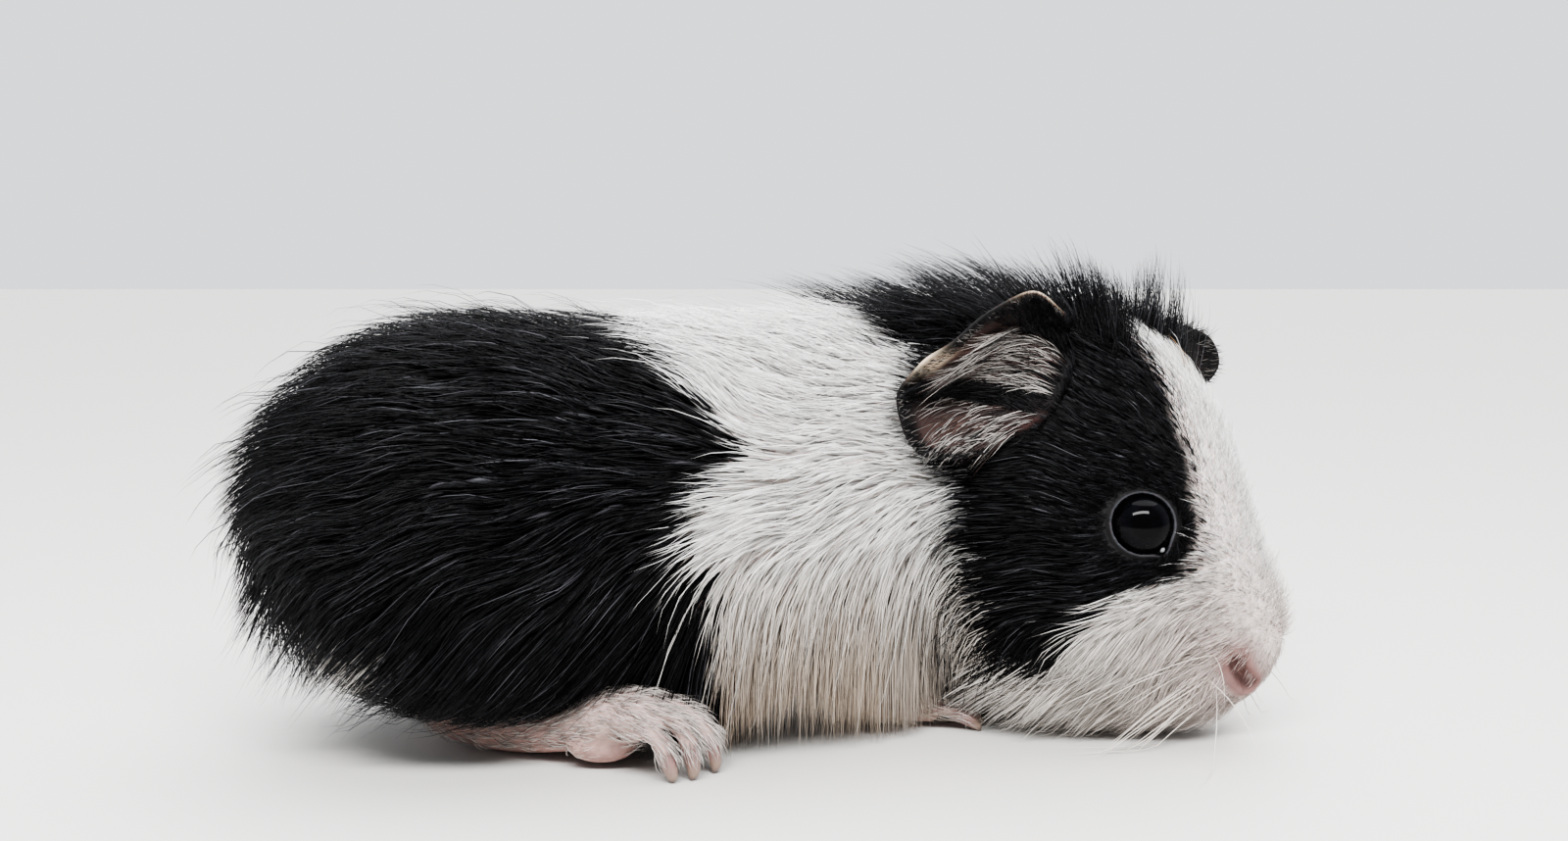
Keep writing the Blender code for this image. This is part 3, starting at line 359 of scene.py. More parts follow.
SADDLE_EDGE = mm(
    (-5, 8), (-5.5, 11), (-10.5, 25), (-14, 34), (-12, 40), (-4, 46), (-12, 55), (-17, 61), (-20, 66)
)
HEAD_EDGE = mm(
    (-4, 8), (-7, 21), (-8, 31), (-7, 39), (-10, 45), (-13.5, 53), (-15, 59), (-22, 62), (-24, 68)
)
BLAZE_EDGE = mm((14, 20), (12.4, 27), (9.4, 34), (9.0, 43), (8.6, 49), (6.6, 56), (3.4, 61), (1, 67))
# The top of the white muzzle, as places along the head with the height at each
MUZZLE_TOP = mm((-5, 9.0), (6.5, 10.5), (10.8, 15.5), (13.5, 20.5), (18, 25.2), (28.5, 26), (40, 27))
BLAZE_START = 15 * MM
EDGE_SOFT = 0.8 * MM
# How far the edges waver on the body and on the head
WAVE = mm(0.9, 0.2)
WAVE_SIZE = 7 * MM
BODY_HAIR_END = mm(-8, 2)
# Under the rump the coat is pale behind this place and below this height, and the edge slants
PALE_UNDER = mm(-58, 15)
PALE_SLANT = 4
# Where the white hair turns cream and darker towards the bottom as painted shade, and its share on the
# chest and how much less that is on the head
CREAM_SHADE_UP = mm(8, 37)
CREAM_SHADE_ALONG = mm(-20, 0)
CREAM_SHADE_SHARES = (0.92, 0.5)
REAR_WHITER = 0.6
REAR_SPAN = mm(20, 40)
MUZZLE_ALONG = mm(12, 30)
MUZZLE_UP = mm(12, 34)
NOSE_HAIR_SHARE = 0.7
NOSE_HAIR_SPREAD = 3.6 * MM

BLACK = np.array([0.0035, 0.0035, 0.0042])
# Grey for a few hairs among the black: partly real grey hairs and partly painted sheen streaks on the black
# coat
GREY_AND_SHEEN = np.array([0.075, 0.075, 0.085])
WHITE = np.array([0.88, 0.87, 0.855])
# Cream darkened by painted shade, for the white hair low on the chest, belly and jaw
CREAM_AND_SHADE = np.array([0.40, 0.30, 0.215])
TAN = np.array([0.66, 0.57, 0.53])
PINK = np.array([0.36, 0.225, 0.20])
NOSE_TONE = np.array([0.22, 0.125, 0.115])
NOSE_HAIR = np.array([0.42, 0.29, 0.27])
DARK_SKIN = np.array([0.004, 0.0035, 0.004])
PALE_SKIN = np.array([0.76, 0.67, 0.64])
# The nostril slits' red lining, darkened near black as painted shade of the openings
SLIT_RED_AND_SHADE = np.array([0.020, 0.006, 0.007])


def past(gap):
    """0 well before an edge and 1 well past it, from the distance past it."""
    return 0.5 + 0.5 * np.clip(gap / EDGE_SOFT, -1, 1)


def past_edge(edge, place, height):
    """0 before and 1 past an edge that is given as pairs of a place and a height."""
    return past(place - np.interp(height, edge[:, 1], edge[:, 0]))


def darkness(points):
    """1 where the coat is black and 0 where it is white, with a soft and slightly wavy edge."""
    head = HEAD.local(points)
    wave = WAVE[0] + (WAVE[1] - WAVE[0]) * ramp(head[..., 0], *BODY_HAIR_END)
    points = points + (wave * ripple(points, WAVE_SIZE, 5))[..., None]
    body, head = BODY.local(points), one_side(HEAD.local(points))
    off_pale = np.maximum((body[..., 0] - PALE_UNDER[0]) / PALE_SLANT, body[..., 2] - PALE_UNDER[1])
    saddle = (1 - past_edge(SADDLE_EDGE, body[..., 0], body[..., 2])) * past(off_pale)
    on_head = past_edge(HEAD_EDGE, head[..., 0], head[..., 2])
    beside_blaze = past_edge(BLAZE_EDGE, head[..., 1], head[..., 2])
    beside_blaze = np.maximum(beside_blaze, head[..., 0] < BLAZE_START)
    over_muzzle = past(head[..., 2] - np.interp(head[..., 0], *MUZZLE_TOP.T))
    return np.maximum(saddle, on_head * beside_blaze * over_muzzle)


def white_tone(points):
    """The white hair's colour: white above, cream darkened by painted shade low on the chest, belly
    and jaw, and a little tan on the muzzle."""
    body, head = BODY.local(points), HEAD.local(points)
    # Cream and painted shade, more towards the bottom and less at the rear
    low = 1 - ramp(body[..., 2], *CREAM_SHADE_UP)
    cream = (CREAM_SHADE_SHARES[0] - CREAM_SHADE_SHARES[1] * ramp(head[..., 0], *CREAM_SHADE_ALONG)) * low
    cream = cream * (1 - REAR_WHITER * ramp(-body[..., 0], *REAR_SPAN))
    muzzle = ramp(head[..., 0], *MUZZLE_ALONG) * (1 - ramp(head[..., 2], *MUZZLE_UP))
    tone = WHITE + (CREAM_AND_SHADE - WHITE) * cream[..., None]
    tone = tone + (TAN - tone) * muzzle[..., None]
    nose = NOSE_HAIR_SHARE * bell(away_from(one_side(head), NOSTRIL_LINE), 0, NOSE_HAIR_SPREAD)
    return tone + (NOSE_HAIR - tone) * nose[..., None]


# Meshes from arrays


def new_mesh(name, points, faces, colours=None, patches=None):
    """A mesh object from arrays. faces is a list of (count, corners) index arrays, colours one
    RGB a point, and patches one place on the unwrap a face corner, in the order of faces."""
    corners = np.concatenate([f.reshape(-1) for f in faces]).astype(np.int32)
    sizes = np.concatenate([np.full(len(f), f.shape[1]) for f in faces]).astype(np.int32)
    starts = np.concatenate([[0], np.cumsum(sizes)[:-1]]).astype(np.int32)
    mesh = bpy.data.meshes.new(name)
    mesh.vertices.add(len(points))
    mesh.vertices.foreach_set("co", np.asarray(points, np.float32).reshape(-1))
    mesh.loops.add(len(corners))
    mesh.loops.foreach_set("vertex_index", corners)
    mesh.polygons.add(len(sizes))
    mesh.polygons.foreach_set("loop_start", starts)
    mesh.polygons.foreach_set("loop_total", sizes)
    mesh.update(calc_edges=True)
    mesh.validate()
    if colours is not None:
        tint(mesh, colours)
    if patches is not None:
        layer = mesh.uv_layers.new(name="OFBake")
        layer.data.foreach_set("uv", np.asarray(patches, np.float32).reshape(-1))
    mesh.shade_smooth()
    made = bpy.data.objects.new(name, mesh)
    bpy.context.scene.collection.objects.link(made)
    return made


def tint(mesh, colours):
    """Puts one RGB a point into the mesh as the attribute that the materials read."""
    layer = mesh.color_attributes.new("Tint", "FLOAT_COLOR", "POINT")
    rgba = np.concatenate([colours, np.ones((len(colours), 1))], axis=1)
    layer.data.foreach_set("color", rgba.astype(np.float32).reshape(-1))


def grid_faces(rows, columns, closed_round=True, closed_along=False):
    """Quads of a (rows, columns) grid of points, which may close round and along itself."""
    index = np.arange(rows * columns).reshape(rows, columns)
    if closed_round:
        index = np.concatenate([index, index[:, :1]], axis=1)
    if closed_along:
        index = np.concatenate([index, index[:1]], axis=0)
    a, b, c, d = index[:-1, :-1], index[:-1, 1:], index[1:, 1:], index[1:, :-1]
    return np.stack([a, b, c, d], axis=-1).reshape(-1, 4)


# How many rings round off each end of a tube, how far they reach for its width, and the last
# ring's share of the width
END_RINGS = 4
END_REACH = 0.6
END_SHARE = 0.02


def tube(path, width, height, side, sides):
    """Points and faces of a closed tube: an ellipse of half sizes width and height carried along
    path, with side the direction of width, closed at each end by rings that shrink to a point."""
    path = np.asarray(path, float)
    width = np.broadcast_to(width, len(path)).astype(float)
    height = np.broadcast_to(height, len(path)).astype(float)
    tangent = unit(np.gradient(path, axis=0))
    turn = np.linspace(0, math.pi / 2, END_RINGS + 1)[1:]
    bulge = np.sin(turn)
    head = path[-1] + tangent[-1] * (bulge * width[-1] * END_REACH)[:, None]
    tail = path[0] - tangent[0] * (bulge * width[0] * END_REACH)[::-1, None]
    path = np.concatenate([tail, path, head])
    tangent = np.pad(tangent, ((END_RINGS, END_RINGS), (0, 0)), mode="edge")
    shrink = np.maximum(np.cos(turn), END_SHARE)
    width = np.concatenate([width[0] * shrink[::-1], width, width[-1] * shrink])
    height = np.concatenate([height[0] * shrink[::-1], height, height[-1] * shrink])
    over = unit(np.cross(tangent, np.broadcast_to(side, path.shape)))
    across = np.cross(over, tangent)
    angle = 2 * math.pi * np.arange(sides) / sides
    ring = np.cos(angle)[None, :, None] * (across * width[:, None])[:, None]
    ring = ring + np.sin(angle)[None, :, None] * (over * height[:, None])[:, None]
    points = (path[:, None] + ring).reshape(-1, 3)
    quads = grid_faces(len(path), sides)
    ends = np.stack([np.arange(sides)[::-1], len(points) - sides + np.arange(sides)])
    return points, facing_out(points, [quads, ends])


def facing_out(points, faces):
    """The faces of a closed surface, turned round if its volume comes out negative."""
    volume = 0.0
    for group in faces:
        a = points[group[:, 0]]
        for k in range(1, group.shape[1] - 1):
            b, c = points[group[:, k]], points[group[:, k + 1]]
            volume += np.einsum("ij,ij->", a, np.cross(b, c))
    return faces if volume > 0 else [group[:, ::-1] for group in faces]


# The angle from a ball's pole to its first ring
POLE_GAP = 0.004


def ball_grid(rows, columns):
    """Unit directions over a sphere from pole to pole, as (rows, columns) points."""
    down = np.linspace(POLE_GAP, math.pi - POLE_GAP, rows)[:, None]
    around = 2 * math.pi * np.arange(columns)[None] / columns
    x, y = np.sin(down) * np.cos(around), np.sin(down) * np.sin(around)
    return np.stack([x, y, np.broadcast_to(np.cos(down), x.shape)], axis=-1)


def gathered(pieces):
    """Several (points, faces) closed surfaces as one."""
    points, faces, first = [], [], 0
    for some, groups in pieces:
        points.append(some)
        faces += [group + first for group in groups]
        first += len(some)
    return np.concatenate(points), faces


# The skin over the flesh, as rings of rays from points inside it

TAIL_RING = (BODY.at(mm(-40, 0, 32)), BODY.along((1.0, 0, 0)), 180.0)
HIP_RING = (BODY.at(mm(-38, 0, 32)), BODY.along((1.0, 0, 0)), 90.0)
SHOULDER_RING = (BODY.at(mm(0, 0, 34)), BODY.along((1.0, 0, 0)), 90.0)
NECK_RING = (NECK.at(mm(0, 0, 34)), NECK.along((1.0, 0, 0)), 90.0)
NAPE_RING = (HEAD.at(mm(-12, 0, 34)), HEAD.along((1.0, 0, 0)), 90.0)
CROWN_RING = (HEAD.at(mm(4, 0, 33)), HEAD.along((0.95, 0, -0.2)), 90.0)
BROW_RING = (HEAD.at(mm(11, 0, 29)), HEAD.along((0.9, 0, -0.45)), 82.0)
NOSE_RING = (HEAD.at(mm(15, 0, 25)), HEAD.along((0.86, 0, -0.5)), 0.0)
RING_CHAIN = [
    (TAIL_RING, 46),
    (HIP_RING, 34),
    (SHOULDER_RING, 12),
    (NECK_RING, 16),
    (NAPE_RING, 22),
    (CROWN_RING, 16),
    (BROW_RING, 150),
    (NOSE_RING, 0),
]
SECTORS = 192


def ring_rays():
    """Origins and unit rays of every ring: a ray leans from the ring's axis by its angle, and
    between two named rings the origin, axis and angle change evenly."""
    rings = []
    for (start, count), (end, _) in zip(RING_CHAIN[:-1], RING_CHAIN[1:]):
        for t in np.arange(count) / count:
            rings.append([a + (b - a) * t for a, b in zip(start, end)])
    rings.append(list(NOSE_RING))
    origins = np.array([ring[0] for ring in rings])
    axes = unit(np.array([ring[1] for ring in rings]))
    leans = np.radians([ring[2] for ring in rings])[:, None, None]
    side = unit(np.cross((0, 0, 1), axes))
    over = np.cross(axes, side)
    around = 2 * math.pi * np.arange(SECTORS)[None, :, None] / SECTORS
    spread = np.cos(around) * side[:, None] + np.sin(around) * over[:, None]
    rays = np.cos(leans) * axes[:, None] + np.sin(leans) * spread
    return np.broadcast_to(origins[:, None], rays.shape), rays


def leaving(origins, rays):
    """How far along each ray it first passes out of the flesh, by steps and then by halving."""
    step = 1.5 * MM
    low = np.zeros(len(rays))
    inside = np.ones(len(rays), bool)
    while inside.any():
        ahead = origins[inside] + rays[inside] * (low[inside] + step)[:, None]
        still = flesh(ahead) < 0
        low[np.flatnonzero(inside)[still]] += step
        inside[np.flatnonzero(inside)[~still]] = False
    high = low + step
    for _ in range(9):
        middle = (low + high) / 2
        out = flesh(origins + rays * middle[:, None]) > 0
        low, high = np.where(out, low, middle), np.where(out, middle, high)
    return (low + high) / 2


def skin_grid():
    """The flesh's surface as a (rings, sectors) grid of points, from the tail to the nose."""
    origins, rays = ring_rays()
    flat_origins, flat_rays = origins.reshape(-1, 3), rays.reshape(-1, 3)
    reach = leaving(flat_origins, flat_rays)
    return (flat_origins + flat_rays * reach[:, None]).reshape(rays.shape)


SKIN = skin_grid()

# Nose, mouth and the lids

NOSTRIL_PATH = mm((33.2, 13.3), (33.7, 11.6), (34.7, 9.8))
NOSTRIL_WIDTH = 0.85 * MM
NOSTRIL_DEPTH = 1.8 * MM
NOSTRIL_RIM = 0.35
MOUTH_PATH = mm((27.0, 8.2, 6.2), (31.5, 6.0, 5.0), (34.6, 2.6, 5.2), (35.6, 0.0, 6.6))
MOUTH_WIDTH = 0.5 * MM
MOUTH_DEPTH = 0.9 * MM
LIP_RIM = 0.35
CLEFT_PATH = mm((35.6, 0, 6.6), (36.6, 0, 8.6), (37.4, 0, 10.8))
CLEFT_WIDTH = 0.4 * MM
CLEFT_DEPTH = 0.5 * MM
CLEFT_RIM = 0.25
# Where the rim beside a groove is highest, in widths of the groove from its line
RIM_AWAY = 2.1
EYE_FACING = unit(np.array([0.40, 0.88, 0.22]))
LID_RADIUS = 4.75 * MM
LID_ROLL = 0.30 * MM
LID_RISE = 2.4 * MM
LID_SKIRT = 2.1 * MM
SKIRT_DROP = 1.9 * MM
TEAR_CORNER = math.radians(-48)
TEAR_SPREAD = 0.26
TEAR_REACH = 0.9 * MM
TEAR_DROP = 0.5 * MM
TEAR_THINNER = 0.25
LID_OVAL = 0.02
LID_TALLER = 1.2
# Wrinkles in the lid: how deep, how many round the eye, and where they start
LID_WRINKLES = ((0.10, 17, 1.3), (0.07, 29, 0.0))
LID_STEPS = 96
LID_SIDES = 14
# The lid rim's grey: partly its own colour and partly a painted sheen of its wet edge
LID_GREY_AND_SHEEN = np.array([0.038, 0.038, 0.044])
# How quickly the lid rim's grey and painted sheen give way to the dark skin on its skirt
LID_SHEEN_FADE = 60


# More than the head's half width
HEAD_REACH = 40 * MM


def on_side(side, point):
    """A point or direction of the left side (side 1) or right side (side -1) of the head."""
    return np.asarray(point, float) * [1, side, 1]


def on_skin(side, along, up):
    """The place on the skin of one side of the head at some distance along and up it."""
    low = np.zeros(len(along))
    high = np.full(len(along), HEAD_REACH)
    for _ in range(16):
        middle = (low + high) / 2
        out = flesh(HEAD.at(np.stack([along, side * middle, up], axis=-1))) > 0
        low, high = np.where(out, low, middle), np.where(out, middle, high)
    return np.stack([along, side * low, up], axis=-1)


def away_from(points, path):
    """The least distance of each point from a path."""
    return np.min([np.linalg.norm(points - place, axis=-1) for place in path], axis=0)


NOSTRIL_LINE = on_skin(1, *smooth_path(NOSTRIL_PATH, 9).T)
MOUTH_LINE = smooth_path(MOUTH_PATH, 15)
CLEFT_LINE = smooth_path(CLEFT_PATH, 9)


def pressed(points, out):
    """The skin with the nostrils, the mouth and the cleft of the lip pressed in, each by a bell
    curve of the distance from its line, and with full lips and nostril rims beside them."""
    head = one_side(HEAD.local(points))
    shift = np.zeros(points.shape[:-1])
    for line, width, depth, rim in (
        (NOSTRIL_LINE, NOSTRIL_WIDTH, NOSTRIL_DEPTH, NOSTRIL_RIM),
        (MOUTH_LINE, MOUTH_WIDTH, MOUTH_DEPTH, LIP_RIM),
        (CLEFT_LINE, CLEFT_WIDTH, CLEFT_DEPTH, CLEFT_RIM),
    ):
        apart = away_from(head, line) / width
        shift += depth * (rim * bell(apart, RIM_AWAY, 1) - bell(apart, 0, 1))
    return points + out * shift[..., None]


def eye_axes(side):
    """Unit vectors that an eye faces along, and forwards and up across it."""
    facing = HEAD.along(on_side(side, EYE_FACING))
    forwards = unit(HEAD.along((1.0, 0, 0)) - facing * (facing @ HEAD.along((1.0, 0, 0))))
    up = np.cross(facing, forwards) * (-side)
    return facing, forwards, up


def lid_ring(side):
    """The rolled rim of the lids: a round section carried round the eye, drawn out to a corner at
    the lower front, with a skirt outside it that slopes down into the skin. Gives the surface and
    the share of the skirt at each point."""
    facing, forwards, up = eye_axes(side)
    around = 2 * math.pi * np.arange(LID_STEPS)[:, None] / LID_STEPS
    roll = 2 * math.pi * np.arange(LID_SIDES)[None] / LID_SIDES
    corner = bell(np.angle(np.exp(1j * (around - TEAR_CORNER))), 0, TEAR_SPREAD)
    radius = LID_RADIUS * (1 + LID_OVAL * np.cos(2 * around)) + TEAR_REACH * corner
    wrinkle = 1 + sum(deep * np.sin(around * many + start) for deep, many, start in LID_WRINKLES)
    size = LID_ROLL * wrinkle * (1 - TEAR_THINNER * corner)
    skirt = np.maximum(np.cos(roll), 0) ** 2
    out = (radius + size * np.cos(roll) + LID_SKIRT * skirt)[..., None]
    direction = np.cos(around)[..., None] * forwards + np.sin(around)[..., None] * up
    rise = LID_RISE + size * np.sin(roll) * LID_TALLER - TEAR_DROP * corner - SKIRT_DROP * skirt
    points = HEAD.at(on_side(side, EYE_PLACE)) + direction * out + facing * rise[..., None]
    points = points.reshape(-1, 3)
    shares = np.broadcast_to(skirt, (LID_STEPS, LID_SIDES)).reshape(-1)
    faces = grid_faces(LID_STEPS, LID_SIDES, closed_along=True)
    return (points, facing_out(points, [faces])), shares


# Ears

# The lines that the ears grow from and their free rims, from the front root round to the rear
# root, in the head's frame. The right ear is laid back and the left one is turned forwards.
EAR_ROOT_EDGE = {
    -1: mm((7.0, 61.0), (8.8, 57.0), (7.6, 52.0), (4.0, 48.0), (-1.0, 46.0)),
    1: mm((9.0, 60.0), (11.0, 56.5), (10.0, 52.0), (7.0, 48.5), (3.0, 46.5)),
}
EAR_RIM = {
    -1: mm(
        (8.6, 16, 65.0),
        (5.8, 23, 68.3),
        (1.0, 26.5, 65.8),
        (-4.2, 28.5, 61.3),
        (-9.0, 29.3, 57.9),
        (-12.0, 29.5, 52.3),
        (-10.2, 28, 45.6),
        (-6.2, 25, 43.9),
        (-1.6, 20.5, 44.5),
    ),
    1: mm(
        (13.0, 14.5, 63.0),
        (18.5, 20.5, 61.5),
        (23.5, 24.5, 59.0),
        (24.5, 27.0, 54.5),
        (21.0, 28.0, 50.0),
        (15.0, 27.0, 46.5),
        (9.5, 24.5, 44.6),
        (5.6, 21.0, 44.2),
        (3.0, 18.0, 44.5),
    ),
}
EAR_CUP = {-1: mm(-3.2, -2.6, 1.6), 1: mm(-3.6, -3.6, 0.4)}
EAR_ROOT_DEPTH = 2.5 * MM
EAR_HALF_THICKNESS = 0.5 * MM
# Creases: where round the ear each one runs, its width there and its depth
EAR_FOLDS = ((0.60, 0.045, 1.5 * MM), (0.30, 0.07, 0.7 * MM), (0.80, 0.06, 0.5 * MM))
FOLD_SLANT = 0.06
FOLD_START = (0.15, 0.5)
FOLD_FADE = (0.85, 1.0)
EAR_ROWS = 34
EAR_COLUMNS = 64


def ear_sheet(side):
    """The middle sheet of an ear: straight from root to rim, sunk by a cup that is deepest near
    the root, and folded along creases that run from the rim in towards the root."""
    root = smooth_path(EAR_ROOT_EDGE[side], EAR_COLUMNS)
    root = on_skin(side, root[:, 0], root[:, 1])
    rim = smooth_path(on_side(side, EAR_RIM[side]), EAR_COLUMNS)
    out = np.linspace(0, 1, EAR_ROWS)[:, None, None]
    round_ear = np.linspace(0, 1, EAR_COLUMNS)[None, :, None]
    reach = np.linalg.norm(rim - root, axis=-1)[None, :, None]
    hollow = np.sin(math.pi * out**0.8) * np.sin(math.pi * round_ear) ** 0.7 * reach / reach.max()
    cup = on_side(side, EAR_CUP[side])
    sheet = root + (rim - root) * out + cup * hollow
    inwards = unit(cup)
    for place, width, depth in EAR_FOLDS:
        bent = place + FOLD_SLANT * (1 - out)
        crease = bell(round_ear, bent, width) * ramp(out, *FOLD_START)
        sheet = sheet + inwards * depth * crease * (1 - 0.5 * ramp(out, *FOLD_FADE))
    sunk = root - on_side(side, (0, EAR_ROOT_DEPTH, 0))
    return np.concatenate([sunk[None], sheet])


def ear_shell(side):
    """The ear as one closed shell: rows out along its inner face, round the rim and back along
    its outer face. The shell narrows to nothing at the front and rear roots."""
    sheet = ear_sheet(side)
    normal = unit(np.cross(np.gradient(sheet, axis=0), np.gradient(sheet, axis=1)))
    rows, columns = sheet.shape[:2]
    out = np.linspace(0, 1, rows)[:, None, None]
    ends = np.sin(math.pi * np.linspace(0.02, 0.98, columns))[None, :, None] ** 0.35
    half = EAR_HALF_THICKNESS * (1 - 0.5 * out) * ends
    rim_roll = np.linspace(0, math.pi, 7)[1:-1, None, None]
    onward = unit(sheet[-1] - sheet[-2])
    rim = sheet[-1] + (normal[-1] * np.cos(rim_roll) + onward * np.sin(rim_roll)) * half[-1]
    shell = np.concatenate([sheet + normal * half, rim, (sheet - normal * half)[::-1]])
    return sheet, normal, HEAD.at(shell)


EAR_BROWN = np.array([0.085, 0.048, 0.042])
EAR_RED = np.array([0.040, 0.017, 0.016])
EAR_CREAM = np.array([0.62, 0.52, 0.39])
# Places round the ear and widths there of the lobes' hollows, the canal and the cream of the rim,
# and where on the way out to the rim the colours change
EAR_LOBES = ((0.42, 0.11), (0.77, 0.085))
CANAL = (0.74, 0.12)
CREAM_RIM = (((0.475, 0.045), (0.78, 0.90)), ((0.10, 0.055), (0.93, 0.98)))
LOBE_START = (0.10, 0.40)
CANAL_END = (0.05, 0.30)
BLACK_RIM = (0.80, 0.97)
FAR_LOBE_SHARE = 0.25


def ear_tone(side, round_ear, out, inner):
    """The ear's colours: black at the rim and outside, brownish pink in the hollows of the two
    lobes, near black where the ear folds in, and cream on two lengths of the rim."""
    lobes = np.clip(sum(bell(round_ear, *lobe) for lobe in EAR_LOBES), 0, 1)
    lobes = lobes * ramp(out, *LOBE_START) * (1 - ramp(out, *BLACK_RIM)) * inner
    lobes = lobes * (1 if side < 0 else FAR_LOBE_SHARE)
    tone = DARK_SKIN + (EAR_BROWN - DARK_SKIN) * lobes[..., None]
    canal = bell(round_ear, *CANAL) * (1 - ramp(out, *CANAL_END)) * inner
    tone = tone + (EAR_RED - tone) * canal[..., None]
    cream = sum(bell(round_ear, *place) * ramp(out, *span) for place, span in CREAM_RIM)
    cream = np.clip(cream, 0, 1) * (side < 0)
    return tone + (EAR_CREAM - tone) * cream[..., None]


# Legs

# The right foot's middle line and its half width along it, each toe from its knuckle to its end
# and the tip of its claw, and the same of the foreleg, all in the trunk's frame.
FOOT_LINE = mm(
    (-50, -9, 7.5),
    (-45, -11.5, 4.2),
    (-36, -15.5, 3.2),
    (-27, -19.2, 4.6),
    (-20, -22.8, 7.0),
    (-14.5, -26, 8.4),
)
FOOT_HALF_WIDTH = mm(2.8, 3.3, 3.3, 3.7, 4.4, 3.6)
HIND_TOES = [
    mm((-18, -27.0, 8.0), (-13.9, -29.6, 7.4), (-11.9, -30.2, 5.4), (-11.1, -30.3, 3.3)),
    mm((-16, -26.0, 9.2), (-10.8, -28.0, 8.4), (-8.5, -28.7, 6.0), (-7.8, -28.9, 3.6)),
    mm((-15, -23.6, 9.0), (-9.2, -24.6, 8.4), (-6.3, -25.2, 6.2), (-5.2, -25.6, 3.8)),
]
HIND_CLAW_TIPS = mm((-10.4, -30.5, 0.05), (-7.9, -29.3, 0.05), (-4.8, -26.0, 0.05))
# Pads under the foot: a place and the half sizes of each
FOOT_PADS = [(mm(-21, -23.6, 3.6), mm(5.2, 2.6, 2.7)), (mm(-33, -16.6, 2.0), mm(8, 2.4, 1.6))]
ARM_LINE = mm((9, -7.5, 15), (12.5, -7.3, 10), (18.5, -5.2, 5.6), (24.5, -2.4, 3.4), (28, -1.6, 3.0))
ARM_HALF_WIDTH = mm(3.6, 3.6, 3.2, 2.6, 2.8)
TOE_RADIUS = 1.7 * MM
# How many of the places along a toe are flesh, before the claw
TOE_PLACES = 15
FINGER_RADIUS = 1.2 * MM
PAW_SPREAD = np.array([-21, -7, 7, 20])
PAW_HEADING = 6.0
KNUCKLE_PITCH = 0.09 * MM
FINGER_ROOT = 2.0 * MM
FINGER_REACH = 6.0 * MM
OUTER_FINGER_SHARE = 0.006
FINGER_DROP = mm((0, 0, 0), (0, 0, -0.3), (0, 0, -1.2))
FINGER_CLAW = 2.4 * MM
CLAW_THICKNESS = {"fore": 0.75 * MM, "hind": 1.02 * MM}
CLAW_ROOT = 2.8 * MM
CLAW_BEND = 0.6
LEFT_SHIFT = {"fore": mm(4, 0, 0), "hind": mm(3, 5, 0)}
LEGS = [("fore", -1), ("fore", 1), ("hind", -1), ("hind", 1)]
UPRIGHT_SIDE = (0.35, 0.94, 0)
LEG_VOXEL = 0.42 * MM
LEG_SMOOTHING = 4
LEG_STEPS = 30
LEG_SIDES = 24
LEG_FLATNESS = 0.92
TOE_STEPS = 18
TOE_SIDES = 14
PAD_GRID = (12, 18)


def placed(side, kind, points):
    """World points of the right leg's, or of their mirror image across the trunk."""
    world = TRUNK.at(points)
    if side < 0:
        return world
    mirrored = BODY.local(world) * [1, -1, 1]
    return BODY.at(mirrored + LEFT_SHIFT[kind])


def fingers():
    """Each forepaw toe's line and the tip of its claw, fanned out from the knuckles."""
    heading = math.radians(PAW_HEADING)
    sideways = np.array([-math.sin(heading), math.cos(heading), 0])
    found = []
    for spread in PAW_SPREAD:
        turn = heading + math.radians(spread)
        onward = np.array([math.cos(turn), math.sin(turn), 0])
        knuckle = ARM_LINE[-1] + sideways * spread * KNUCKLE_PITCH
        reach = FINGER_REACH * (1 - OUTER_FINGER_SHARE * abs(spread))
        steps = np.array([-FINGER_ROOT, reach / 2, reach])
        claw_tip = knuckle + onward * (reach + FINGER_CLAW)
        claw_tip[2] = TIP_HEIGHT
        found.append((knuckle + onward * steps[:, None] + FINGER_DROP, claw_tip))
    return found


def toes(kind):
    """Each toe's line and the tip of its claw, of a right leg."""
    return fingers() if kind == "fore" else list(zip(HIND_TOES, HIND_CLAW_TIPS))


def leg_tubes(kind, side):
    """The leg's length, the pads below it, and its toes, which swell at the knuckle and the end:
    0.93 + 0.14 cos(2 pi t) - 0.52 t^4 times their radius, with t from root to tip."""
    fore = kind == "fore"
    line, half = (ARM_LINE, ARM_HALF_WIDTH) if fore else (FOOT_LINE, FOOT_HALF_WIDTH)
    path = smooth_path(placed(side, kind, line), LEG_STEPS)
    width = np.interp(np.linspace(0, 1, LEG_STEPS), np.linspace(0, 1, len(half)), half)
    tubes = [tube(path, width, width * LEG_FLATNESS, UPRIGHT_SIDE, LEG_SIDES)]
    t = np.linspace(0, 1, TOE_STEPS)[:TOE_PLACES]
    radius = FINGER_RADIUS if fore else TOE_RADIUS
    radius = radius * (0.93 + 0.14 * np.cos(2 * math.pi * t) - 0.52 * t**4)
    for toe, _ in toes(kind):
        path = smooth_path(placed(side, kind, toe), TOE_STEPS)[:TOE_PLACES]
        tubes.append(tube(path, radius, radius, UPRIGHT_SIDE, TOE_SIDES))
    for place, half_size in [] if fore else FOOT_PADS:
        ball = ball_grid(*PAD_GRID) * half_size @ TRUNK.axes
        centre = placed(side, kind, [place])[0]
        points = (centre + ball).reshape(-1, 3)
        tubes.append((points, facing_out(points, sphere_faces(*PAD_GRID))))
    return tubes


def sphere_faces(rows, columns):
    """The faces of a ball's grid, with one at each pole."""
    ends = np.stack([np.arange(columns)[::-1], (rows - 1) * columns + np.arange(columns)])
    return [grid_faces(rows, columns), ends]


